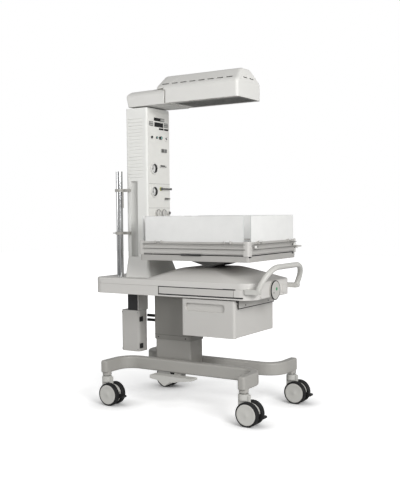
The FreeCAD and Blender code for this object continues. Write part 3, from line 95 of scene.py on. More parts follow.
class WarmerColours(bpy.types.PropertyGroup):
    housing: colour_setting("Housing", "Moulded housings of the hood and arm", "DFDEDA")
    console: colour_setting("Console", "Moulded tub, roof and foot of the console", "D3D1CD")
    column: colour_setting("Column", "Textured paint on the column case", "ECECE8")
    drawer: colour_setting("Drawer", "Moulded drawer and tray", "C7C5C1")
    box: colour_setting("Service box", "Structure paint on the service box", "C0BEBA")
    base: colour_setting("Base", "Powder coat on the legs", "A8A6A1")
    lift: colour_setting("Lift column", "Anodised inner tube of the lift", "A5A39E")
    # Painted shade: a darker copy of the lift's anodising, for the console's shadow on the upper tube.
    lift_top_shaded: colour_setting("Upper lift tube", "Anodised outer tube of the lift", "8B8984")
    rail: colour_setting("Rails", "Anodised rails of the bed", "C2C0BC")
    pan: colour_setting("Bed pan", "Moulded pan under the bed", "B0AEAA")
    caster: colour_setting("Caster", "Moulded forks and wheel discs", "C8C7C2")
    rubber: colour_setting("Tyre", "Rubber tread", "1B1B1C")
    # Black plastic; the same black also fills gaps, slots and recesses as painted shade.
    black: colour_setting("Black plastic", "Knobs, clips and the box's neck", "1F1F20")
    panel: colour_setting("Panel", "Printed film of the control panel", "E6E5E0")
    film_grey: colour_setting("Keypad", "Grey membrane keys and tilt skirt", "777775")
    dark_grey: colour_setting("Dark fittings", "Plugs, valve lever and knob rings", "5E5E5C")
    knob: colour_setting("Flow knob", "Light grey turning knobs", "CFCECA")
    groove: colour_setting("Groove", "Shadowed bottoms of the rails' grooves", "565550")
    baffle: colour_setting("Baffle", "Light sheet behind the column's vents", "F0F0EC")
    # Painted shade: this grey darkens the column's channels; the keypads' keys also take it as their own
    # colour.
    channel: colour_setting("Channel", "Liner of the channel in the column's sides", "C6C6C2")
    teal: colour_setting("Turning knob cap", "Cap of the turning knob", "7FA8A2")
    green: colour_setting("Green mark", "Mark on the tilt knob", "2E8F5B")
    collar: colour_setting("Valve collar", "Ring round the valve's lever", "BFC46A")
    mattress: colour_setting("Mattress", "Coated cover of the mattress", "E3E6E8")
    acrylic: colour_setting("Clear walls", "Tint of the clear walls", "F6F6F4")
    wall_edge: colour_setting("Wall edge", "Polished edges of the clear walls", "D2D4D2")
    chrome: colour_setting("Chrome", "Plating of the equipment pole", "C9CACB")
    steel: colour_setting("Steel", "Bright steel of the rod, the guard and the yoke", "9A9A98")
    display: colour_setting("Display", "Smoked windows over the displays", "090A0B")
    reflector: colour_setting("Reflector", "Bright sheet over the heating rods", "E8E5DF")
    quartz: colour_setting("Quartz", "Frosted sheath of the heating rods", "B9B1A8")
    dial: colour_setting("Dial", "Printed dial of a gauge", "F2F2EF")
    ink: colour_setting("Ticks", "Printed ticks of a gauge", "202022")
    needle: colour_setting("Needle", "Enamel on a gauge's needle", "141414")
    floor: colour_setting("Floor", "Floor and backdrop", "FFFFFF")
    card: colour_setting("Card", "Dark cards that the chrome mirrors", "101010")


class WarmerSizes(bpy.types.PropertyGroup):
    disc_radius: length_setting("Wheel disc radius", "Light disc on each wheel's outer face", 53.0)
    disc_proud: length_setting("Wheel disc stand-out", "How far a disc's middle stands out of its tyre", 1.6)
    dial_radius: length_setting("Dial radius", "White dial of a pressure gauge", 23.4)
    dial_ticks: IntProperty(name="Dial ticks", description="Marks round a gauge's dial", default=11, min=3)
    seam_width: length_setting("Panel seam", "Width of the seams between the panel's modules", 1.2)
    crown: length_setting("Mattress crown", "How far the mattress may swell over its foam", 9.0)


class WarmerStage(bpy.types.PropertyGroup):
    azimuth: angle_setting("Azimuth", "Camera direction, from the drawer's side towards the foot end", 32.34)
    elevation: angle_setting("Elevation", "How far the camera looks down", 2.69)
    roll: angle_setting("Roll", "Camera roll", 0.55)
    focal_share: share_setting("Focal length share", "Focal length over the picture's height", 780.49 / 500)
    camera_place: FloatVectorProperty(name="Camera", description="Where the camera stands", unit="LENGTH",
                                      subtype="TRANSLATION", default=(2.3263, -3.6554, 1.0612))
    key_power: power_setting("Key light", "Power of the large soft box over the near foot corner", 185.0)
    fill_power: power_setting("Fill light", "Power of the weaker soft box on the head end's side", 38.0)
    sky: share_setting("Sky", "Strength of the even light from all round", 0.54)
    overhead: share_setting("Overhead share", "The light from straight above as a share of the sky's", 0.45)
    floor_glow: share_setting("Floor glow", "Light added to the seen floor, which turns it white", 0.42)


# Materials: one function adds a node with its settings and links
def add(tree, kind, values=None, links=None, **settings):
    made = tree.nodes.new(kind)
    for name, value in settings.items():
        setattr(made, name, value)
    for socket, value in (values or {}).items():
        made.inputs[socket].default_value = value
    for socket, source in (links or {}).items():
        tree.links.new(source, made.inputs[socket])
    return made


def place_of(tree):
    """Coordinates in metres that stay with the piece."""
    return add(tree, "ShaderNodeTexCoord").outputs["Object"]


def noise(tree, patch_mm, detail, place=None, **values):
    return add(tree, "ShaderNodeTexNoise", {"Scale": 1 / (patch_mm * MM), "Detail": detail, **values},
               {"Vector": place or place_of(tree)}).outputs["Fac"]


def blend(tree, factor, low, high):
    """From the colour low to the colour high; low may also be a socket."""
    mix = add(tree, "ShaderNodeMix", links={"Factor": factor}, data_type="RGBA")
    if isinstance(low, tuple):
        mix.inputs["A"].default_value = rgba(low)
    else:
        tree.links.new(low, mix.inputs["A"])
    mix.inputs["B"].default_value = rgba(high)
    return mix.outputs["Result"]


def remap(tree, source, from_low, from_high, to_low, to_high):
    ends = {"From Min": from_low, "From Max": from_high, "To Min": to_low, "To Max": to_high}
    return add(tree, "ShaderNodeMapRange", ends, {"Value": source}).outputs["Result"]


def tone(tree, colour, share, patch_mm):
    """The colour, wandering lighter and darker by a share over patches of that size."""
    light = tuple(min(1.0, c * (1 + share)) for c in colour)
    dark = tuple(c * (1 - share) for c in colour)
    return blend(tree, noise(tree, patch_mm, 3.0), dark, light)


def rounded_edges(tree, radius_mm):
    return add(tree, "ShaderNodeBevel", {"Radius": radius_mm * MM}, samples=4).outputs["Normal"]


def edge_highlight_and_wear(tree, colour, edge_light_and_wear, radius_mm, share):
    """Painted edge highlight and wear: colour that goes towards the lighter edge colour where the surface
    turns within radius_mm.
    """
    soft = rounded_edges(tree, radius_mm)
    plain = add(tree, "ShaderNodeNewGeometry").outputs["Normal"]
    facing = add(tree, "ShaderNodeVectorMath", links={0: soft, 1: plain}, operation="DOT_PRODUCT")
    return blend(tree, remap(tree, facing.outputs["Value"], 1.0, 0.8, 0.0, share), colour, edge_light_and_wear)


def grain(tree, grain_mm, depth_mm, strength, under=None, stretch=(1.0, 1.0, 1.0)):
    """Bump of a fine grain; stretch draws it out along an axis, as brushing does."""
    place = add(tree, "ShaderNodeMapping", {"Scale": stretch}, {"Vector": place_of(tree)}).outputs["Vector"]
    bump = add(tree, "ShaderNodeBump", {"Strength": strength, "Distance": depth_mm * MM},
               {"Height": noise(tree, grain_mm, 4.0, place, Roughness=0.6)})
    if under is not None:
        tree.links.new(under, bump.inputs["Normal"])
    return bump.outputs["Normal"]


def uneven(tree, low, high, patch_mm):
    """A value that wanders from low to high over patches, for gloss or clearness."""
    return remap(tree, noise(tree, patch_mm, 5.0), 0.3, 0.7, low, high)


def new_finish(name, values):
    """A material with one Principled shader; the values sit on the shader's own sockets."""
    made = bpy.data.materials.new(name)
    made.use_nodes = True
    tree = made.node_tree
    tree.nodes.clear()
    shader = add(tree, "ShaderNodeBsdfPrincipled", values)
    add(tree, "ShaderNodeOutputMaterial", links={"Surface": shader.outputs["BSDF"]})
    return made, tree, shader


def join(tree, shader, colour, gloss, normal):
    for socket, source in (("Base Color", colour), ("Roughness", gloss), ("Normal", normal)):
        if source is not None:
            tree.links.new(source, shader.inputs[socket])


def surface(name, values, colour, wander, gloss, fine=None, edge=None, edge_light_and_wear=None, stretch=(1.0, 1.0, 1.0)):
    """A finish, with lengths in millimetres. wander: share, patch. gloss: low, high, patch. fine: size, depth
    and strength of the grain. edge: radius of its rounding. Lighter edges, a painted edge highlight and wear:
    how much lighter the edges are, over what radius, by what share."""
    made, tree, shader = new_finish(name, values)
    tint = tone(tree, colour, *wander)
    # Painted edge highlight and wear: the colour turns lighter near every edge.
    if edge_light_and_wear:
        lighter, radius, share = edge_light_and_wear
        tint = edge_highlight_and_wear(tree, tint, tuple(min(1.0, c * lighter) for c in colour), radius, share)
    normal = rounded_edges(tree, edge) if edge else None
    if fine:
        normal = grain(tree, *fine, normal, stretch)
    join(tree, shader, tint, uneven(tree, *gloss), normal)
    return made


def moulded_abs(name, colour):
    """ABS, injection moulded in a spark-eroded tool: a fine matt grain, soft edges, slightly uneven gloss."""
    return surface(name, {"IOR": 1.53, "Specular IOR Level": 0.45}, colour, wander=(0.018, 160.0),
                   gloss=(0.38, 0.48, 45.0), fine=(1.1, 0.05, 0.22), edge=1.2, edge_light_and_wear=(1.06, 2.0, 0.25))


def powder_coat(name, colour):
    """Epoxy-polyester powder, baked on a casting: orange peel a few millimetres across over a dull sheen."""
    return surface(name, {"IOR": 1.5, "Coat Weight": 0.15, "Coat Roughness": 0.3}, colour,
                   wander=(0.025, 120.0), gloss=(0.42, 0.55, 60.0), fine=(3.0, 0.09, 0.3), edge=1.5,
                   edge_light_and_wear=(1.12, 2.5, 0.3))


def textured_paint(name, colour):
    """Structure paint, sprayed on sheet steel: a close pebbled skin, drawn at 1.6 mm so that it shows."""
    return surface(name, {"IOR": 1.5}, colour, wander=(0.02, 220.0), gloss=(0.45, 0.6, 80.0),
                   fine=(1.6, 0.08, 0.3), edge=0.9, edge_light_and_wear=(1.05, 1.6, 0.3))


def anodised(name, colour, metallic, stretch):
    """Aluminium extrusion, etched and clear anodised: die lines along its length under a silky skin."""
    return surface(name, {"Metallic": metallic}, colour, wander=(0.04, 90.0), gloss=(0.3, 0.42, 50.0),
                   fine=(1.4, 0.04, 0.25), edge=0.8, stretch=stretch)


def anodised_upright(name, colour):
    """Anodised tube whose die lines run up."""
    return anodised(name, colour, 0.35, (1.0, 1.0, 0.02))


def anodised_lying(name, colour):
    """Anodised rail whose die lines run along the bed."""
    return anodised(name, colour, 0.3, (0.02, 1.0, 1.0))


def tyre_rubber(name, colour):
    """Natural rubber, compression moulded: matt, dusty where it has rolled."""
    return surface(name, {"IOR": 1.52, "Specular IOR Level": 0.35}, colour, wander=(0.35, 14.0),
                   gloss=(0.6, 0.82, 20.0), fine=(1.8, 0.12, 0.35), edge=1.5)


def chrome_plate(name, colour):
    """Steel tube, nickel and chrome plated: a mirror, with bands of duller polish round it."""
    return surface(name, {"Metallic": 1.0}, colour, wander=(0.03, 70.0), gloss=(0.12, 0.2, 60.0))


def bright_steel(name, colour):
    """Bright drawn steel, turned and lightly oiled: a soft metal shine with fine turning marks."""
    return surface(name, {"Metallic": 1.0}, colour, wander=(0.06, 40.0), gloss=(0.28, 0.42, 30.0),
                   fine=(0.8, 0.02, 0.2), edge=0.5)


def clear_acrylic(name, colour):
    """Cast acrylic sheet with flame-polished edges: nearly clear, a milky veil where it is wiped often."""
    made = surface(name, {"IOR": 1.49}, colour, wander=(0.01, 90.0), gloss=(0.06, 0.16, 60.0),
                   fine=(6.0, 0.01, 0.1), edge=0.6)
    tree = made.node_tree
    tree.links.new(uneven(tree, 0.78, 0.85, 120.0), tree.nodes["Principled BSDF"].inputs["Alpha"])
    return made


def bands(tree, period_mm, distortion, direction):
    """Bands one period apart; at scale 1 a wave texture repeats every 20th of a full turn."""
    wave = {"Scale": math.tau / 20 / (period_mm * MM), "Distortion": distortion}
    return add(tree, "ShaderNodeTexWave", wave, {"Vector": place_of(tree)},
               bands_direction=direction).outputs["Fac"]


def coated_fabric(name, colour):
    """Polyurethane-coated polyester, heat welded: a soft wipe-clean sheen over a weave about 0.5 mm across,
    drawn at 3 mm so that it shows."""
    made, tree, shader = new_finish(name, {"IOR": 1.46, "Sheen Weight": 0.2, "Sheen Roughness": 0.5})
    weave_mm = 2.961
    warp, weft = (bands(tree, weave_mm, 0.2, direction) for direction in "XY")
    cross = add(tree, "ShaderNodeMath", links={0: warp, 1: weft}, operation="MULTIPLY")
    weave = add(tree, "ShaderNodeBump", {"Strength": 0.12, "Distance": 0.1 * MM},
                {"Height": cross.outputs["Value"]})
    join(tree, shader, tone(tree, colour, 0.03, 60.0), uneven(tree, 0.4, 0.55, 50.0),
         grain(tree, 28.0, 0.6, 0.25, weave.outputs["Normal"]))
    return made


def display_glass(name, colour):
    """Smoked acrylic window over a display, polished: dark, with sharp small highlights."""
    return surface(name, {"IOR": 1.49, "Specular IOR Level": 0.3}, colour, wander=(0.3, 18.0),
                   gloss=(0.12, 0.22, 25.0), edge=0.4)


def membrane_film(name, colour):
    """Polyester membrane, screen printed on its back: fine embossing over an even tone."""
    return surface(name, {"IOR": 1.6}, colour, wander=(0.03, 30.0), gloss=(0.3, 0.4, 20.0),
                   fine=(0.8, 0.03, 0.2), edge=0.5)


def reflector_sheet(name, colour):
    """Anodised reflector aluminium, rolled bright, slightly browned by heat: long soft streaks."""
    return surface(name, {"Metallic": 0.25}, colour, wander=(0.08, 80.0), gloss=(0.2, 0.35, 60.0),
                   fine=(1.5, 0.03, 0.2), edge=0.5, stretch=(0.05, 1.0, 1.0))


def quartz_sheath(name, colour):
    """Fused quartz sheath, frosted by acid, over the dark coil of the heater: pale and dark rings."""
    made, tree, shader = new_finish(name, {"IOR": 1.46})
    coil_mm = 1.645
    coil = bands(tree, coil_mm, 0.4, "X")
    join(tree, shader, blend(tree, coil, linear("5A5048"), tuple(colour)), uneven(tree, 0.35, 0.5, 20.0),
         grain(tree, 1.5, 0.04, 0.2, rounded_edges(tree, 0.4)))
    return made


def ink_and_painted_shade(name, colour):
    """Pad-printed ink on plastic, and the painted shade of grooves and seams: flat and slightly satin."""
    return surface(name, {"IOR": 1.5}, colour, wander=(0.06, 6.0), gloss=(0.35, 0.5, 8.0),
                   fine=(0.9, 0.02, 0.15))


def studio_floor(name, colour):
    """Seamless paper, pale and matt. The seen floor glows with painted light so that it washes out to white,
    with painted shade that dims the glow near the product and round its feet. It throws a little less light
    back up than it shows."""
    made, tree, shader = new_finish(name, {"IOR": 1.4})
    glow = bpy.context.scene.warmer_stage.floor_glow
    glow_away = glow + 0.5
    clear_of_product, far_off = 0.5, 2.2
    seen = add(tree, "ShaderNodeLightPath").outputs["Is Camera Ray"]
    shown = add(tree, "ShaderNodeMix", links={"Factor": seen, "B": tone(tree, colour, 0.004, 900.0)},
                data_type="RGBA")
    shown.inputs["A"].default_value = rgba(linear("D2D2D2"))
    join(tree, shader, shown.outputs["Result"], uneven(tree, 0.85, 0.95, 400.0),
         grain(tree, 12.0, 0.02, 0.05))
    # Painted shade: the glow is weakest near the product and grows out to far_off.
    away = add(tree, "ShaderNodeVectorMath", links={0: place_of(tree)}, operation="LENGTH").outputs["Value"]
    glow_dimmed_near_product = remap(tree, away, clear_of_product, far_off, glow, glow_away)
    # Painted contact shadow: ambient occlusion dims the glow round the casters and the base.
    near = add(tree, "ShaderNodeAmbientOcclusion", {"Distance": 0.14}, samples=8).outputs["AO"]
    shaded = add(tree, "ShaderNodeMath", {1: 2.5}, {0: near}, operation="POWER").outputs["Value"]

    def times(one, other):
        return add(tree, "ShaderNodeMath", links={0: one, 1: other}, operation="MULTIPLY").outputs["Value"]

    lit = times(seen, times(shaded, glow_dimmed_near_product))
    tree.links.new(lit, shader.inputs["Emission Strength"])
    return made


# Each finish by its name, with the colour setting it takes
FINISHES = {
    moulded_abs: dict(
        moulded_nylon_fork="caster", moulded_nylon_black="black", moulded_nylon_dark="dark_grey",
        moulded_nylon_knob="knob", moulded_nylon_skirt="film_grey", moulded_abs_console="console",
        moulded_abs_tray="drawer", moulded_abs_corner="drawer", moulded_abs_knob="rail",
        moulded_abs_pan="pan", moulded_abs_housing="housing", moulded_abs_fitting="housing",
        moulded_teal_cap="teal", moulded_white_cap="acrylic", moulded_green_collar="collar",
        # The channel's finish is painted shade in the column's side channels.
        extruded_pvc_liner="channel", polished_acrylic_edge="wall_edge"),
    powder_coat: dict(powder_coat_leg="base", powder_coat_pedal="caster", epoxy_coat_handle="caster",
                      powder_coat_bracket="lift"),
    textured_paint: dict(paint_on_hanger="rail", paint_on_box="box", structure_paint_column="column",
                         paint_on_baffle="baffle"),
    anodised_upright: dict(anodised_lift_tube="lift", anodised_outer_tube="lift_top_shaded"),
    anodised_lying: dict(anodised_rail="rail"),
    tyre_rubber: dict(moulded_rubber_tyre="rubber"),
    chrome_plate: dict(chromed_tube="chrome"),
    bright_steel: dict(turned_steel="steel"),
    clear_acrylic: dict(cast_acrylic_wall="acrylic"),
    coated_fabric: dict(welded_polyurethane_cover="mattress"),
    display_glass: dict(smoked_display_window="display"),
    membrane_film: dict(printed_panel_film="panel", embossed_keypad_film="film_grey",
                        embossed_key_film="channel"),
    reflector_sheet: dict(rolled_reflector="reflector"),
    quartz_sheath: dict(frosted_quartz="quartz"),
    # Painted shade: the groove finish darkens the bottoms of grooves and seams.
    ink_and_painted_shade: dict(printed_groove="groove", printed_green="green", printed_dark="black",
                       printed_dial_white="dial", printed_black="ink", needle_black_enamel="needle",
                       black_card="card"),
    studio_floor: dict(seamless_paper="floor"),
}
MAKERS = {key: (make, setting) for make, uses in FINISHES.items() for key, setting in uses.items()}
MADE = {}


def finish(key):
    """The finish of that name, made once."""
    if key not in MADE:
        make, setting = MAKERS[key]
        MADE[key] = make(key, tuple(getattr(bpy.context.scene.warmer_colours, setting)))
    return MADE[key]


def need(*nodes):
    missing = [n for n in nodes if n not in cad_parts]
    if missing:
        raise RuntimeError(f"the frame has no {missing}")


def coat(key, *nodes):
    """Puts a finish on CAD nodes."""
    need(*nodes)
    for name in nodes:
        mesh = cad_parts[name].data
        if not mesh.materials:
            mesh.materials.append(finish(key))
        for i in range(len(mesh.materials)):
            mesh.materials[i] = finish(key)


# Mesh helpers: lengths in millimetres, pieces ride on the console unless another body is named
def piece(name, shape, key, body="console", smooth_angle=35.0):
    """A bmesh in millimetres becomes an object in metres that rides on a body."""
    mesh = bpy.data.meshes.new(name)
    bmesh.ops.scale(shape, vec=(MM, MM, MM), verts=shape.verts)
    bmesh.ops.recalc_face_normals(shape, faces=shape.faces)
    shape.to_mesh(mesh)
    shape.free()
    mesh.materials.append(finish(key))
    mesh.polygons.foreach_set("use_smooth", [True] * len(mesh.polygons))
    mesh.set_sharp_from_angle(angle=math.radians(smooth_angle))
    made = bpy.data.objects.new(name, mesh)
    bpy.context.scene.collection.objects.link(made)
    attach(made, body)
    return made


AXES = {
    "x": Matrix(((0, 0, 1), (1, 0, 0), (0, 1, 0))),
    "y": Matrix(((1, 0, 0), (0, 0, 1), (0, 1, 0))),
    "z": Matrix.Identity(3),
    "-y": Matrix(((1, 0, 0), (0, 0, -1), (0, 1, 0))),
}


def lathe(shape, profile, axis, centre, steps=48):
    """Adds a turned form: profile is (radius, height along the axis) from the middle outwards."""
    turn = AXES[axis]
    rings = []
    for radius, height in profile:
        if radius < 1e-6:
            rings.append([shape.verts.new(Vector(centre) + turn @ Vector((0, 0, height)))] * steps)
            continue
        ring = []
        for i in range(steps):
            angle = math.tau * i / steps
            local = Vector((radius * math.cos(angle), radius * math.sin(angle), height))
            ring.append(shape.verts.new(Vector(centre) + turn @ local))
        rings.append(ring)
    for low, high in zip(rings, rings[1:]):
        for i in range(steps):
            j = (i + 1) % steps
            corners = list(dict.fromkeys((low[i], low[j], high[j], high[i])))
            if len(corners) > 2:
                shape.faces.new(corners)


def turned(name, profile, axis, places, key, slot, body="console", steps=48):
    """The same turned form at each place, as one piece."""
    shape = bmesh.new()
    for place in places:
        lathe(shape, profile, axis, place, steps)
    return piece(name, shape, key, body)


def screws(name, places, radius, axis, key, slot):
    """Domed heads with a round socket, standing on a face."""
    profile = [(0, 0.3), (radius * 0.4, 0.3), (radius * 0.45, 1.0), (radius * 0.85, 0.8), (radius, 0.2),
               (radius, -0.5)]
    turned(name, profile, axis, places, key, slot, steps=24)


def block(shape, low, high, soft=0.0):
    """Adds a box with softened edges."""
    middle = [(a + b) / 2 for a, b in zip(low, high)]
    span = [b - a for a, b in zip(low, high)]
    size = Matrix.Translation(middle) @ Matrix.Diagonal((*span, 1.0))
    made = bmesh.ops.create_cube(shape, size=1.0, matrix=size)
    if soft:
        edges = list({e for v in made["verts"] for e in v.link_edges})
        bmesh.ops.bevel(shape, geom=edges, offset=soft, segments=2, profile=0.5, affect="EDGES")


def slabs(name, boxes, key, body="console", soft=0.4):
    """Softened blocks, given by their corners, as one piece."""
    shape = bmesh.new()
    for low, high in boxes:
        least = min(b - a for a, b in zip(low, high))
        block(shape, low, high, min(soft, 0.3 * least))
    return piece(name, shape, key, body)


def closed_loft(shape, rings):
    """Joins rings of as many corners one to the next and closes both ends."""
    rings = [[shape.verts.new(point) for point in ring] for ring in rings]
    count = len(rings[0])
    for low, high in zip(rings, rings[1:]):
        for i in range(count):
            j = (i + 1) % count
            shape.faces.new((low[i], low[j], high[j], high[i]))
    shape.faces.new(rings[0])
    shape.faces.new(rings[-1])


def prism(shape, outline, low, high, axis="z"):
    """Adds an outline drawn out along an axis from low to high."""
    closed_loft(shape, [[AXES[axis] @ Vector((a, b, h)) for a, b in outline] for h in (low, high)])


def low_high(node):
    """Corners of a CAD node in millimetres."""
    need(node)
    low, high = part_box(node)
    return low / MM, high / MM


class WarmerOperator(bpy.types.Operator):
    """One step of dressing the warmer."""

    bl_options = {"REGISTER", "UNDO"}

    @property
    def sizes(self):
        return bpy.context.scene.warmer_sizes


class WARMER_OT_base(WarmerOperator):
    """Coats the legs, base casting and foot pedal"""

    bl_idname = "warmer.base"
    bl_label = "Base and pedal"

    def execute(self, context):
        coat("powder_coat_leg", "base_legs", "base_plate")
        coat("powder_coat_pedal", "lift_pedal")
        return {"FINISHED"}


class WARMER_OT_casters(WarmerOperator):
    """Coats the casters and adds the dished discs on their wheels"""

    bl_idname = "warmer.casters"
    bl_label = "Casters"

    def execute(self, context):
        rim = self.sizes.disc_radius / MM
        proud = self.sizes.disc_proud / MM
        dish, lip = 0.8, 1.4
        profile = [(0, proud), (6, proud), (7.5, proud - 0.6), (rim - 12, dish), (rim - 9, lip),
                   (rim - 3, lip), (rim, 0.5), (rim, -2.0)]
        for name in CASTERS:
            coat("moulded_rubber_tyre", "caster_wheels_" + name)
            coat("moulded_nylon_fork", "caster_fork_" + name)
            coat("moulded_nylon_black", "brake_tab_" + name)
            low, high = low_high("caster_wheels_" + name)
            axle_x, axle_z = (low.x + high.x) / 2, (low.z + high.z) / 2
            shape = bmesh.new()
            for axis, y in (("y", high.y), ("-y", low.y)):
                lathe(shape, profile, axis, (axle_x, y, axle_z), 64)
            piece("wheel_discs_" + name, shape, "moulded_nylon_fork", "wheels_" + name)
        return {"FINISHED"}


class WARMER_OT_lift(WarmerOperator):
    """Coats the lift's tubes, actuator and rod, and adds a dark line of painted shade at the outer tube's
    collar, and screws
    """

    bl_idname = "warmer.lift"
    bl_label = "Lift column"

    def execute(self, context):
        coat("anodised_lift_tube", "lift_inner_tube")
        # Painted shade: the outer tube takes the darker, shaded copy of the anodising.
        coat("anodised_outer_tube", "lift_outer_tube")
        coat("turned_steel", "lift_actuator", "lift_rod")
        low, high = low_high("lift_outer_tube")
        z, wide, inset, screw_inset = low.z + 26, 2, 6, 34
        # Painted shade: a dark line in the seam at the collar.
        slabs("lift_collar_line",
              [((low.x + inset, low.y - 0.4, z), (high.x - inset, low.y + 0.5, z + wide)),
               ((high.x - 0.5, low.y + inset, z), (high.x + 0.4, high.y - inset, z + wide))],
              "printed_groove", soft=0.2)
        places = [(x, low.y, z - 13) for x in (low.x + screw_inset, high.x - screw_inset)]
        screws("lift_collar_screws", places, 4.0, "-y", "moulded_nylon_black", "lift_tube")
        return {"FINISHED"}


class WARMER_OT_console(WarmerOperator):
    """Coats the console, its cover, handle, tray and tilt parts"""

    bl_idname = "warmer.console"
    bl_label = "Console"

    def execute(self, context):
        coat("moulded_abs_console", "console_tub", "console_roof", "foot_cover")
        coat("moulded_abs_tray", "pull_tray")
        coat("epoxy_coat_handle", "push_handle")
        coat("moulded_abs_knob", "tilt_knob")
        coat("moulded_nylon_black", "tilt_post")
        self.knob()
        self.tray_gap()
        return {"FINISHED"}

    def knob(self):
        """Black rim that paints the ring of shade round the tilt knob, light dished face, and the green and
        dark marks of the tilt knob.
        """
        low, high = low_high("tilt_knob")
        centre = Vector((high.x, 0, (low.z + high.z) / 2))
        r = (high.z - low.z) / 2
        on_knob = ("knob_plastic", "tilt_wheel")
        turned("tilt_knob_rim", [(r - 4, 0.0), (r - 3.4, 0.5), (r - 1, 0.5), (r + 0.5, -0.4), (r + 0.5, -5),
                                 (r - 2, -5)], "x", [centre], "moulded_nylon_black", *on_knob, 64)
        turned("tilt_knob_face", [(0, 0.25), (r - 12, 0.25), (r - 7, 0.55), (r - 4.4, 0.1), (r - 4.4, -0.5)],
               "x", [centre], "moulded_abs_knob", *on_knob, 64)
        for name, radius, across, up in (("green", 9.5, 10, 6), ("dark", 4.0, -22, -12)):
            turned("tilt_knob_mark_" + name, [(0, 0.6), (radius - 1, 0.6), (radius, 0.2), (radius, -0.5)],
                   "x", [centre + Vector((0, across, up))], "printed_" + name, *on_knob, 28)

    def tray_gap(self):
        """Black strips of painted shadow in the gap round the pull-out tray, and its catch, which also paints
        the deep shadow gap along the top of the tray's end.
        """
        low, high = low_high("pull_tray")
        y0, y1 = low.y + 1.5, low.y + 4.5
        top, bottom = high.z + 4.4, low.z - 7.0
        slabs("tray_gap_seal", [((low.x - 2.6, y0, high.z + 0.4), (high.x + 2.6, y1, top)),
                                ((low.x - 2.6, y0, bottom), (high.x + 54, y1, low.z - 0.4)),
                                ((low.x - 6.0, y0, bottom), (low.x - 0.4, y1, top))],
              "moulded_nylon_black", soft=0.5)
        slabs("tray_catch", [((high.x - 62, y0 - 0.6, high.z + 0.6), (high.x + 12, y1, high.z + 6.0))],
              "moulded_nylon_black", soft=0.8)


class WARMER_OT_drawer(WarmerOperator):
    """Coats the drawer and its hangers, and adds the foot-side hanger's plate, a black strip of painted shade
    in its gap, and screws
    """

    bl_idname = "warmer.drawer"
    bl_label = "Drawer"

    def execute(self, context):
        coat("moulded_abs_tray", "drawer")
        coat("paint_on_hanger", "drawer_hangers")
        low, high = low_high("drawer_hangers")
        proud = high.x + 1.6
        slabs("hanger_plate", [((high.x - 0.6, low.y + 2, low.z + 1), (proud, high.y - 2, high.z - 8))],
              "paint_on_hanger", soft=0.5)
        # Painted shade: a black strip in the gap along the hanger's edges.
        corner = (high.x - 1, low.y - 3, low.z - 3)
        slabs("hanger_front_gap", [(corner, (high.x + 1.2, low.y + 2, high.z - 4)),
                                   (corner, (high.x + 1.0, high.y - 2, low.z + 1))],
              "moulded_nylon_black")
        screws("hanger_screw_heads", [(proud, y, 582.0) for y in (-112.0, 141.0)], 4.4, "x",
               "moulded_nylon_black", "hanger_paint")
        return {"FINISHED"}


class WARMER_OT_service_box(WarmerOperator):
    """Coats the service box, its neck, clips and struts"""

    bl_idname = "warmer.service_box"
    bl_label = "Service box"

    def execute(self, context):
        coat("paint_on_box", "service_box")
        coat("moulded_nylon_black", "service_fixings")
        low, high = low_high("service_fixings")
        x1, z0, z1 = low.x + 80.0, 504.0 + 1, high.z - 1
        slabs("neck_cover", [((x1 - 8, low.y - 1.2, z0), (x1 + 1.2, low.y + 1, z1)),
                             ((x1 - 1, low.y - 1.2, z0), (x1 + 1.2, high.y + 0.6, z1))],
              "moulded_abs_tray", soft=0.5)
        low, high = low_high("service_box")
        places = [(x, low.y, z) for x in (low.x + 10, high.x - 10) for z in (low.z + 12, high.z - 12)]
        screws("box_cover_screws", places, 3.2, "-y", "turned_steel", "box_paint")
        return {"FINISHED"}


class WARMER_OT_column(WarmerOperator):
    """Coats the column, its foot, the equipment pole and its brackets"""

    bl_idname = "warmer.column"
    bl_label = "Column and pole"

    def execute(self, context):
        coat("structure_paint_column", "column_case")
        coat("moulded_abs_housing", "column_foot")
        coat("chromed_tube", "equipment_pole")
        coat("powder_coat_bracket", "pole_brackets")
        self.baffles()
        self.channel_liners()
        return {"FINISHED"}

    def baffles(self):
        """Light sheets close behind the vents, which keep the slots from looking black."""
        low, high = low_high("column_case")
        x0, x1, z0, z1 = -395.0, -289.0, 1256.0, 1600.0
        wall, thick, seat = 3.0, 1.4, 0.1
        slabs("vent_baffles", [((x0, low.y + wall - seat, z0), (x1, low.y + wall + thick, z1)),
                               ((x0, high.y - wall - thick, z0), (x1, high.y - wall + seat, z1))],
              "paint_on_baffle", soft=0.3)

    def channel_liners(self):
        """Grey strips of painted shade in the round channels of the column's two sides."""
        low, high = low_high("column_case")
        radius, outside, middle_x, z0, z1 = 28.0, 14.0, -354.0, 822.0, 1244.0
        start, sweep, steps = 31, 118, 14
        shape = bmesh.new()
        for face, inward in ((low.y, 1), (high.y, -1)):
            arcs = []
            for r in (radius - 0.05, radius - 0.7):
                angles = [math.radians(start + sweep * i / steps) for i in range(steps + 1)]
                arcs.append([(middle_x + r * math.cos(a), face - inward * (outside - r * math.sin(a)))
                             for a in angles])
            prism(shape, arcs[0] + arcs[1][::-1], z0, z1)
        piece("channel_liners", shape, "extruded_pvc_liner")


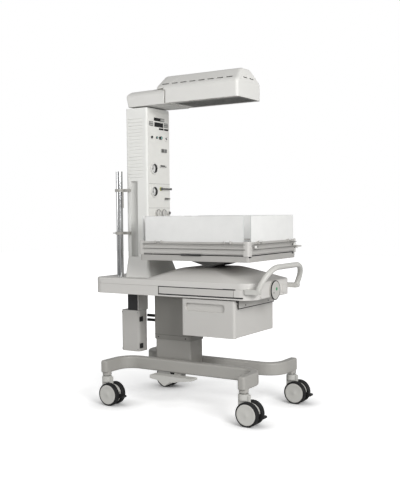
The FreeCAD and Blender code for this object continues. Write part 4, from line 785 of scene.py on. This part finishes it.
class WARMER_OT_panel(WarmerOperator):
    """Coats the control panel and its controls, and adds keypads, lamps, plugs, knob fittings and dials"""

    bl_idname = "warmer.panel"
    bl_label = "Control panel"

    lamp_z = 1492.0
    lamps_at = (("run", -25.0, "moulded_teal_cap"), ("alarm", 70.0, "moulded_white_cap"))
    # Across the panel, up, keys across, keys up
    keypads_at = ((-91.5, -54.5, 1555.5, 1579.5, 3, 2), (52.5, 91.5, 1555.5, 1579.5, 3, 2),
                  (16.0, 55.5, 1586.5, 1603.5, 3, 1))
    seams_at = (1231.0, 1094.0)

    def execute(self, context):
        coat("printed_panel_film", "control_panel")
        coat("smoked_display_window", "panel_displays")
        coat("moulded_abs_fitting", "panel_fittings")
        coat("moulded_nylon_black", "menu_knob", "push_button")
        coat("moulded_nylon_dark", "valve_lever")
        coat("moulded_nylon_knob", "flow_knob_left", "flow_knob_right")
        coat("needle_black_enamel", "gauge_needle_upper", "gauge_needle_lower")
        low, high = low_high("panel_displays")
        x = low.x
        self.keypads(high.x - 0.8)
        self.lamps(x)
        self.plugs(x)
        self.valve(x)
        self.flow_knobs(x)
        # Painted shade: dark strips in the seams between the panel's modules.
        half = self.sizes.seam_width / MM / 2
        reach = 103
        seams = [((x - 0.4, -reach, z - half), (x + 0.25, reach, z + half)) for z in self.seams_at]
        slabs("panel_seams", seams, "printed_groove", soft=0.1)
        self.gauges()
        return {"FINISHED"}

    def keypads(self, x):
        """Grey membrane keypads with raised keys over parts of the display windows."""
        plates = []
        keys = []
        for y0, y1, z0, z1, across, down in self.keypads_at:
            plates.append(((x - 0.5, y0, z0), (x + 0.5, y1, z1)))
            pitch_y, pitch_z = (y1 - y0) / across, (z1 - z0) / down
            half_y, half_z = 0.3 * pitch_y, 0.28 * pitch_z
            for i in range(across):
                for j in range(down):
                    y, z = y0 + (i + 0.5) * pitch_y, z0 + (j + 0.5) * pitch_z
                    keys.append(((x + 0.3, y - half_y, z - half_z), (x + 1.1, y + half_y, z + half_z)))
        slabs("keypad_plates", plates, "embossed_keypad_film", soft=0.2)
        slabs("keypad_keys", keys, "embossed_key_film", soft=0.3)

    def lamps(self, x):
        """Two lamps on round plates, and the caps of the lamps and of the menu knob."""
        places = [(x, y, self.lamp_z) for name, y, cap in self.lamps_at]
        plate_r, body_r, lens_r = 17.3, 6.5, 5.3
        turned("lamp_plates", [(0, 2.3), (plate_r - 0.3, 2.3), (plate_r, 2.0), (plate_r, 0.0)], "x", places,
               "printed_panel_film", "panel_film")
        turned("lamp_bodies", [(body_r, 2.2), (body_r, 9.0), (5.4, 9.6), (5.4, 8.8)], "x", places,
               "moulded_nylon_black", "fitting_plastic", steps=32)
        for (name, y, cap), place in zip(self.lamps_at, places):
            turned("lamp_lens_" + name, [(0, 10.4), (3.0, 10.2), (lens_r, 9.2), (lens_r, 2.2)], "x", [place],
                   cap, "fitting_plastic", steps=32)
        low, high = low_high("menu_knob")
        middle = (high.x, (low.y + high.y) / 2, (low.z + high.z) / 2)
        turned("menu_knob_cap", [(0, 1.0), (6.4, 1.0), (7.4, 0.3), (7.4, -0.5)], "x", [middle],
               "moulded_teal_cap", "control_plastic", "menu", 32)

    def plugs(self, x):
        """Sockets and plugs on the square ports, and the star knob on the stub."""
        sockets = (("dark", "moulded_nylon_dark", 19, 44), ("grey", "embossed_keypad_film", 48, 72))
        for name, key, y0, y1 in sockets:
            slabs("port_socket_" + name, [((x + 3, y0, 1411), (x + 5.5, y1, 1431))], key)
        # Across the panel, up, and how far each stands out
        pegs = ((6, 22, 1327.5, 1338.5, 10), (25, 44, 1329, 1337, 12), (48, 62, 1327.5, 1331.5, 9),
                (44, 62, 1142, 1152, 10), (65, 78, 1143, 1151, 12), (82, 98, 1145, 1149, 8))
        slabs("port_pegs", [((x + 5, y0, z0), (x + out, y1, z1)) for y0, y1, z0, z1, out in pegs],
              "moulded_nylon_dark", soft=1.2)
        arms = ((72, 88, 1062, 1068), (77, 83, 1057, 1073))
        slabs("stub_star", [((x + 13.5, y0, z0), (x + 18, y1, z1)) for y0, y1, z0, z1 in arms],
              "moulded_nylon_black", soft=1.4)

    def valve(self, x):
        """Collar and end of the valve's lever."""
        low, high = low_high("valve_lever")
        z = (low.z + high.z) / 2
        bore, outer = 8.1, 10.8
        turned("valve_collar",
               [(bore, 0.6), (10.4, 0.6), (outer, 1.2), (outer, 3.2), (10.2, 3.8), (bore, 3.8)], "x",
               [(x, low.y + 8, z)], "moulded_green_collar", "control_plastic", "valve", 32)
        slabs("valve_lever_end", [((x + 2.5, high.y - 9, z - 6), (x + 13.5, high.y + 1, z + 6))],
              "moulded_nylon_black", "valve", 3.0)

    def flow_knobs(self, x):
        """Dark rim of each flow knob, which also paints the arc of shade at its side, and its index dot."""
        for name in ("left", "right"):
            low, high = low_high("flow_knob_" + name)
            y, z = (low.y + high.y) / 2, (low.z + high.z) / 2
            r = (high.z - low.z) / 2
            on_knob = ("control_plastic", "flow_" + name)
            # Dark rim that also paints the arc of shade beside the knob.
            turned("flow_knob_ring_" + name,
                   [(r - 1.6, 13.0), (r - 1.4, 13.5), (r + 0.3, 13.5), (r + 0.5, 13.0), (r + 0.5, 11.5),
                    (r - 1, 11.5)], "x", [(x, y, z)], "moulded_nylon_dark", *on_knob)
            turned("flow_knob_dot_" + name, [(0, 0.5), (2.4, 0.5), (2.8, 0.2), (2.8, -0.4)], "x",
                   [(high.x, y, z + r - 9)], "moulded_nylon_black", *on_knob, 20)

    def gauges(self):
        """Dial, ticks and the black inner wall of each pressure gauge, which paints the crescent of shade
        inside its rim.
        """
        radius = self.sizes.dial_radius / MM
        count = self.sizes.dial_ticks
        outer, bore, hub_up, sweep = 25.4, 24.0, 7.0, 270
        for name in ("upper", "lower"):
            low, high = low_high("gauge_needle_" + name)
            centre = (low.x - 0.3, (low.y + high.y) / 2, low.z + hub_up)
            turned("gauge_dial_" + name, [(0, 0.15), (radius - 0.4, 0.15), (radius, 0.0)], "x", [centre],
                   "printed_dial_white", "fitting_plastic")
            # Painted shade: the black inner wall stands for the shade inside the gauge's rim.
            turned("gauge_liner_" + name,
                   [(outer, 0.0), (outer, 13.2), (24.8, 13.6), (bore, 13.0), (bore, 0.0)], "x", [centre],
                   "moulded_nylon_black", "fitting_plastic")
            marks = bmesh.new()
            for i in range(count):
                angle = math.radians(sweep * (i / (count - 1) - 0.5))
                turn = Matrix.Translation(centre) @ Matrix.Rotation(angle, 4, "X")
                before = set(marks.verts)
                block(marks, (0.1, -0.5, radius - 6), (0.35, 0.5, radius - 2))
                bmesh.ops.transform(marks, matrix=turn, verts=[v for v in marks.verts if v not in before])
            piece("gauge_ticks_" + name, marks, "printed_black")


class WARMER_OT_hood(WarmerOperator):
    """Coats the hood, arm and heater, and adds the roof's end over the arm and the lamp's lens"""

    bl_idname = "warmer.hood"
    bl_label = "Hood and heater"

    # The roof's section: its crease's height, half width there and at the top. The fairing stands proud.
    crease = 1752.3
    half = 127.8
    top_half = 46.0
    proud = 0.35

    def execute(self, context):
        coat("moulded_abs_housing", "hood_shell", "hood_arm")
        coat("rolled_reflector", "heater_tray")
        coat("frosted_quartz", "heater_rods")
        coat("turned_steel", "heater_guard")
        low, high = low_high("heater_tray")
        turned("hood_lamp_lens", [(0, -2.2), (12, -1.7), (16.5, -0.6), (16.5, 0.2)], "z",
               [(-104.25, 0, low.z + 3.0)], "moulded_white_cap", "reflector", "hood", 40)
        self.top = low_high("hood_shell")[1].z
        self.roof_end()
        self.roof_slots()
        return {"FINISHED"}

    def flank(self, part):
        """Half width and height at that part of the way from crease to top."""
        return self.half + part * (self.top_half - self.half), self.crease + part * (self.top - self.crease)

    def roof_end(self):
        """Fairing that carries the roof's section on over the arm and ends it steeply."""
        arm_half = low_high("hood_arm")[1].y - 3.0
        arm_top = 1747.0
        share, soft, steps = 0.16, 16.0, 4
        wide = []
        bends = (((self.half, self.crease - soft), (self.half, self.crease), self.flank(share)),
                 (self.flank(1 - share), self.flank(1.0), (self.top_half - soft, self.top)))
        for a, b, c in bends:
            for i in range(steps + 1):
                t = i / steps
                y, z = ((1 - t) ** 2 * p + 2 * t * (1 - t) * q + t * t * r for p, q, r in zip(a, b, c))
                wide.append((y + self.proud, z + self.proud))
        narrow = [(min(y, arm_half), max(z, arm_top)) for y, z in wide]
        steep, cad_run = 14.0, 60.0
        # Section, pulled in by, dropped by, its foot along the hood, how far its top lies further along
        columns = ((narrow, 0.965, 3.0, -182.0, steep), (narrow, 0.99, 0.9, -180.8, steep),
                   (narrow, 1.0, 0.0, -177.0, steep), (narrow, 1.0, 0.0, -135.0, 0.0),
                   (wide, 1.0, 0.0, -134.4, 0.0), (wide, 1.0, 0.0, -114.0, cad_run),
                   (wide, 0.97, 3.0, -114.0, cad_run))
        rings = []
        for section, pull, drop, foot, run in columns:
            side = []
            for y, z in section:
                up = (z - self.crease) / (self.top - self.crease)
                side.append((foot + run * max(0.0, min(1.0, up)), y * pull, z - drop))
            rings.append(side + [(x, -y, z) for x, y, z in reversed(side)])
        shape = bmesh.new()
        closed_loft(shape, rings)
        piece("hood_roof_end", shape, "moulded_abs_housing", "hood")

    def roof_slots(self):
        """The fairing's pair of vent slots, in line with the roof's own, drawn as black strips of painted
        shade.
        """
        z0, z1, x0, x1 = 1768.0, 1773.0, -153.5, -111.5
        outside, inside = 1.6, -1.0
        shape = bmesh.new()
        for side in (-1, 1):
            outline = []
            for z, out in ((z0, outside), (z1, outside), (z1, inside), (z0, inside)):
                y = self.flank((z - self.crease) / (self.top - self.crease))[0]
                outline.append((side * (y + out), z))
            prism(shape, outline, x0, x1, "x")
        piece("hood_roof_end_slots", shape, "moulded_nylon_black", "hood")


class WARMER_OT_bed(WarmerOperator):
    """Coats the bed's pan, rails, corners, clear walls and cassette tray, and adds their small fittings"""

    bl_idname = "warmer.bed"
    bl_label = "Bed frame"

    def execute(self, context):
        coat("moulded_abs_pan", "bed_pan")
        coat("anodised_rail", "bed_rails")
        coat("moulded_abs_corner", "corner_posts")
        coat("cast_acrylic_wall", "near_wall", "far_wall", "foot_wall", "head_wall")
        coat("moulded_nylon_black", "cassette_tray")
        coat("moulded_abs_knob", "lock_lever")
        coat("turned_steel", "tilt_yoke")
        low, high = low_high("cassette_tray")
        x, wide = low.x + 187.0, 123
        slabs("cassette_grip_lip", [((x, low.y - 2.4, low.z - 2.0), (x + wide, low.y + 0.8, high.z + 2.0))],
              "moulded_nylon_black", "cassette", 1.0)
        self.rail_lines()
        self.wall_edges()
        self.latches()
        self.tilt_skirt()
        return {"FINISHED"}

    def rail_lines(self):
        """Painted shade: dark strips in the rails' grooves, and in the shadow gap between rails and pan."""
        low, high = low_high("bed_rails")
        inset = 32
        strips = []
        for z0, z1, depth in ((901.6, 904.2, 0.0), (876.0, 879.0, 1.5)):
            a, b = depth - 0.3, depth + 0.6
            strips.append(((low.x + inset, low.y + a, z0), (high.x - inset, low.y + b, z1)))
            strips.append(((low.x + inset, high.y - b, z0), (high.x - inset, high.y - a, z1)))
            strips.append(((high.x - b, low.y + inset, z0), (high.x - a, high.y - inset, z1)))
        slabs("rail_grooves", strips, "printed_groove", "bed", 0.2)
        pan_low, pan_high = low_high("bed_pan")
        z0, z1 = pan_high.z + 0.1, low.z - 0.1
        cassette_low, cassette_high = low_high("cassette_tray")
        y, thick, inset = pan_low.y + 1.4, 1.5, 20
        gaps = [((low.x + inset, y, z0), (cassette_low.x - 3, y + thick, z1)),
                ((cassette_high.x + 3, y, z0), (high.x - inset, y + thick, z1)),
                ((pan_high.x - 3, low.y + inset, z0), (pan_high.x - 1.4, high.y - inset, z1))]
        slabs("pan_shadow_gap", gaps, "moulded_nylon_black", "bed", 0.3)

    def wall_edges(self):
        """Polished edges of the clear walls, which catch more tone than their faces."""
        cover, rise, side, foot = 1.2, 0.3, 0.2, 917
        # Each wall's body, the axis across it, and its two faces on that axis; its hinges reach further out
        walls = (("near_wall", "near_side", 1, -268.0, -263.0), ("far_wall", "far_side", 1, 263.0, 268.0),
                 ("foot_wall", "foot_side", 0, 460.7, 465.7))
        for node, body, across, face0, face1 in walls:
            low, high = low_high(node)
            along = 1 - across
            a, b, top = low[along], high[along], high.z
            boxes = []
            for a0, a1, z0, z1 in ((a, b, top - cover, top + rise), (a - rise, a + cover, foot, top),
                                   (b - cover, b + rise, foot, top)):
                corners = [[0.0, 0.0, z0], [0.0, 0.0, z1]]
                for corner, at, face in zip(corners, (a0, a1), (face0 - side, face1 + side)):
                    corner[along], corner[across] = at, face
                boxes.append(corners)
            slabs(node + "_edges", boxes, "polished_acrylic_edge", body, 0.3)

    def latches(self):
        """Wall latches on the foot rail, their catches, and the black feet under it."""
        x = low_high("bed_rails")[1].x
        pan = low_high("bed_pan")[1]
        # Name, finish, softening, back and front, then across the bed and up for each
        sets = (("foot_latches", "moulded_abs_housing", 1.0, x - 1,
                 ((x + 3.4, -236, -214, 884, 896), (x + 3.4, 206, 228, 884, 896))),
                ("foot_latch_catches", "moulded_nylon_black", 0.8, x - 1,
                 ((x + 2.4, -211, -203, 886, 893), (x + 2.4, 193, 202, 886, 893),
                  (x + 2.0, 218, 226, 868, 874))),
                ("pan_corner_feet", "moulded_nylon_black", 1.0, pan.x - 4,
                 ((pan.x + 2, -262, -244, pan.z - 7, pan.z - 0.4),
                  (pan.x + 2, 222, 240, pan.z - 7, pan.z - 0.4))))
        for name, key, soft, back, places in sets:
            boxes = [((back, y0, z0), (front, y1, z1)) for front, y0, y1, z0, z1 in places]
            slabs(name, boxes, key, "bed", soft)

    def tilt_skirt(self):
        """Two tapered cheeks under the pan, cut so that they pass over the console when the bed tilts."""
        pivot_x = 131.3
        right = [(122.0, 812), (122.0, 805), (105.0, 800), (12, 775)]
        left = [(-x, z) for x, z in reversed(right)]
        outline = [(pivot_x + x, z) for x, z in left[-1:] + right + left[:-1]]
        shape = bmesh.new()
        inner, outer = 60.0, 104.0
        for y0, y1 in ((-outer, -inner), (inner, outer)):
            prism(shape, outline, y0, y1, "y")
        piece("tilt_skirt", shape, "moulded_nylon_skirt", "bed")


def rounded_slab(low, high, corner_r, soft):
    """A block with round upright corners and softened upper and lower edges."""
    shape = bmesh.new()
    block(shape, low, high)
    upright = [e for e in shape.edges if abs(e.verts[0].co.z - e.verts[1].co.z) > 1]
    bmesh.ops.bevel(shape, geom=upright, offset=corner_r, segments=14, profile=0.5, affect="EDGES")
    level = [e for e in shape.edges if len(e.link_faces) == 2
             and abs(abs(e.link_faces[0].normal.z) - abs(e.link_faces[1].normal.z)) > 0.5]
    bmesh.ops.bevel(shape, geom=level, offset=soft, segments=4, profile=0.5, affect="EDGES")
    return shape


class WARMER_OT_mattress(WarmerOperator):
    """Makes the padded mattress that replaces the plain solid"""

    bl_idname = "warmer.mattress"
    bl_label = "Mattress"

    voxel = 8.0 * MM
    held_below = 6.0 * MM
    last_frame = 20

    def execute(self, context):
        low, high = low_high("mattress")
        inset, lower = 5.0, 4.0
        shape = rounded_slab((low.x + inset, low.y + inset, low.z),
                             (high.x - inset, high.y - inset, high.z - lower), 45.0, 12.0)
        pad = piece("mattress_pad", shape, "welded_polyurethane_cover", "bed", 180.0)
        self.swell(context, pad)
        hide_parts("mattress")
        return {"FINISHED"}

    def swell(self, context, pad):
        """Cloth with a little pressure, held where it lies on the deck."""
        limit = self.sizes.crown
        start_z = min(v.co.z for v in pad.data.vertices)
        context.view_layer.objects.active = pad
        remesh = pad.modifiers.new("Remesh", "REMESH")
        remesh.mode = "VOXEL"
        remesh.voxel_size = self.voxel
        bpy.ops.object.modifier_apply(modifier="Remesh")
        rest = [v.co.copy() for v in pad.data.vertices]
        held = pad.vertex_groups.new(name="held")
        for v in pad.data.vertices:
            if v.co.z < start_z + self.held_below:
                held.add([v.index], 1.0, "REPLACE")
        cloth = pad.modifiers.new("Cloth", "CLOTH")
        cloth.settings.quality = 6
        cloth.settings.vertex_group_mass = "held"
        cloth.settings.use_pressure = True
        cloth.settings.uniform_pressure_force = 4.0
        cloth.settings.effector_weights.gravity = 0.0
        cloth.point_cache.frame_start = 1
        cloth.point_cache.frame_end = self.last_frame
        for step in range(1, self.last_frame + 1):
            context.scene.frame_set(step)
        solved = pad.evaluated_get(context.evaluated_depsgraph_get())
        swollen = [v.co.copy() for v in solved.data.vertices]
        pad.modifiers.remove(cloth)
        pad.vertex_groups.remove(held)
        for v, before, after in zip(pad.data.vertices, rest, swollen):
            move = after - before
            v.co = before + move * min(1.0, limit / max(move.length, 1e-9))
        pad.data.update()
        context.scene.frame_set(1)


class WARMER_OT_stage(WarmerOperator):
    """Sets the floor, the sky, the lights, the cards and the camera"""

    bl_idname = "warmer.stage"
    bl_label = "Stage"

    floor_half = 14.0
    card_away = 3.5

    def execute(self, context):
        stage = context.scene.warmer_stage
        self.camera(context.scene, stage)
        half = self.floor_half
        self.sheet("studio_floor", [(-half, -half, 0), (half, -half, 0), (half, half, 0), (-half, half, 0)],
                   "seamless_paper")
        self.sky(context.scene, stage)
        context.scene.view_settings.view_transform = "Standard"
        self.soft_box("key", (4.2, -2.5, 2.6), 2.2, stage.key_power)
        self.soft_box("fill", (-3.0, -3.4, 2.0), 2.0, stage.fill_power)
        self.black_cards(stage.azimuth)
        return {"FINISHED"}

    def camera(self, scene, stage):
        lens = bpy.data.cameras.new("warmer_camera")
        lens.sensor_fit = "VERTICAL"
        lens.sensor_height = 24.0
        lens.lens = stage.focal_share * lens.sensor_height
        lens.clip_end = 50.0
        camera = bpy.data.objects.new("warmer_camera", lens)
        scene.collection.objects.link(camera)
        a, e, r = stage.azimuth, stage.elevation, stage.roll
        forward = Vector((-math.sin(a) * math.cos(e), math.cos(a) * math.cos(e), -math.sin(e)))
        right = Vector((math.cos(a), math.sin(a), 0.0))
        up = right.cross(forward)
        tilted_right = right * math.cos(r) - up * math.sin(r)
        tilted_up = up * math.cos(r) + right * math.sin(r)
        turn = Matrix((tilted_right, tilted_up, -forward)).transposed().to_4x4()
        camera.matrix_world = Matrix.Translation(stage.camera_place) @ turn
        scene.camera = camera

    def sheet(self, name, corners, key):
        """A flat sheet of the studio."""
        mesh = bpy.data.meshes.new(name)
        mesh.from_pydata(corners, [], [(0, 1, 2, 3)])
        mesh.materials.append(finish(key))
        made = bpy.data.objects.new(name, mesh)
        bpy.context.scene.collection.objects.link(made)
        return made

    def sky(self, scene, stage):
        """Even light that weakens towards the zenith; the camera sees plain white."""
        world = bpy.data.worlds.new("warmer_studio")
        scene.world = world
        world.use_nodes = True
        tree = world.node_tree
        tree.nodes.clear()
        white = (1.0, 1.0, 1.0, 1.0)
        way = add(tree, "ShaderNodeTexCoord").outputs["Generated"]
        up = add(tree, "ShaderNodeSeparateXYZ", links={0: way}).outputs["Z"]
        dome = remap(tree, up, 0.1, 0.9, stage.sky, stage.sky * stage.overhead)
        sky = add(tree, "ShaderNodeBackground", {"Color": white}, {"Strength": dome})
        seen = add(tree, "ShaderNodeBackground", {"Color": white, "Strength": 1.0})
        ray = add(tree, "ShaderNodeLightPath")
        both = add(tree, "ShaderNodeMixShader", links={0: ray.outputs["Is Camera Ray"],
                                                       1: sky.outputs["Background"],
                                                       2: seen.outputs["Background"]})
        add(tree, "ShaderNodeOutputWorld", links={"Surface": both.outputs["Shader"]})

    def black_cards(self, azimuth):
        """Two tall dark cards beside the camera that only mirrors see, for the streaks on chrome."""
        for name, turn in (("left", -50.0), ("right", 50.0)):
            angle = math.radians(math.degrees(azimuth) - 90.0 + turn)
            across = Vector((-math.sin(angle), math.cos(angle), 0))
            middle = Vector((math.cos(angle), math.sin(angle), 0)) * self.card_away
            corners = [middle + across * side + Vector((0, 0, z))
                       for side, z in ((-0.5, 0.1), (0.5, 0.1), (0.5, 2.4), (-0.5, 2.4))]
            made = self.sheet("black_card_" + name, corners, "black_card")
            for ray in ("camera", "diffuse", "shadow", "transmission"):
                setattr(made, "visible_" + ray, False)

    def soft_box(self, name, place, size, power):
        """A square soft box that looks at the middle of the warmer."""
        aim = Vector((0.0, 0.0, 0.9))
        light = bpy.data.lights.new("soft_box_" + name, "AREA")
        light.shape = "SQUARE"
        light.size = size
        light.energy = power
        made = bpy.data.objects.new("soft_box_" + name, light)
        bpy.context.scene.collection.objects.link(made)
        made.location = place
        made.rotation_euler = (aim - Vector(place)).to_track_quat("-Z", "Y").to_euler()


STEPS = (WARMER_OT_base, WARMER_OT_casters, WARMER_OT_lift, WARMER_OT_console, WARMER_OT_drawer,
         WARMER_OT_service_box, WARMER_OT_column, WARMER_OT_panel, WARMER_OT_hood, WARMER_OT_bed,
         WARMER_OT_mattress, WARMER_OT_stage)


class WARMER_PT_sidebar(bpy.types.Panel):
    """Lists the steps and their settings"""

    bl_idname = "WARMER_PT_sidebar"
    bl_label = "Infant warmer"
    bl_space_type = "VIEW_3D"
    bl_region_type = "UI"
    bl_category = "Warmer"

    def draw(self, context):
        for step in STEPS:
            self.layout.operator(step.bl_idname)
        for group in (context.scene.warmer_colours, context.scene.warmer_sizes, context.scene.warmer_stage):
            column = self.layout.column(align=True)
            for name in group.__annotations__:
                column.prop(group, name)


CLASSES = (WarmerColours, WarmerSizes, WarmerStage) + STEPS + (WARMER_PT_sidebar,)


def register():
    for each in CLASSES:
        bpy.utils.register_class(each)
    bpy.types.Scene.warmer_colours = PointerProperty(type=WarmerColours)
    bpy.types.Scene.warmer_sizes = PointerProperty(type=WarmerSizes)
    bpy.types.Scene.warmer_stage = PointerProperty(type=WarmerStage)


def unregister():
    del bpy.types.Scene.warmer_stage
    del bpy.types.Scene.warmer_sizes
    del bpy.types.Scene.warmer_colours
    for each in reversed(CLASSES):
        bpy.utils.unregister_class(each)


def main():
    register()
    for step in STEPS:
        group, action = step.bl_idname.split(".")
        getattr(getattr(bpy.ops, group), action)()


if __name__ == "__main__":
    main()
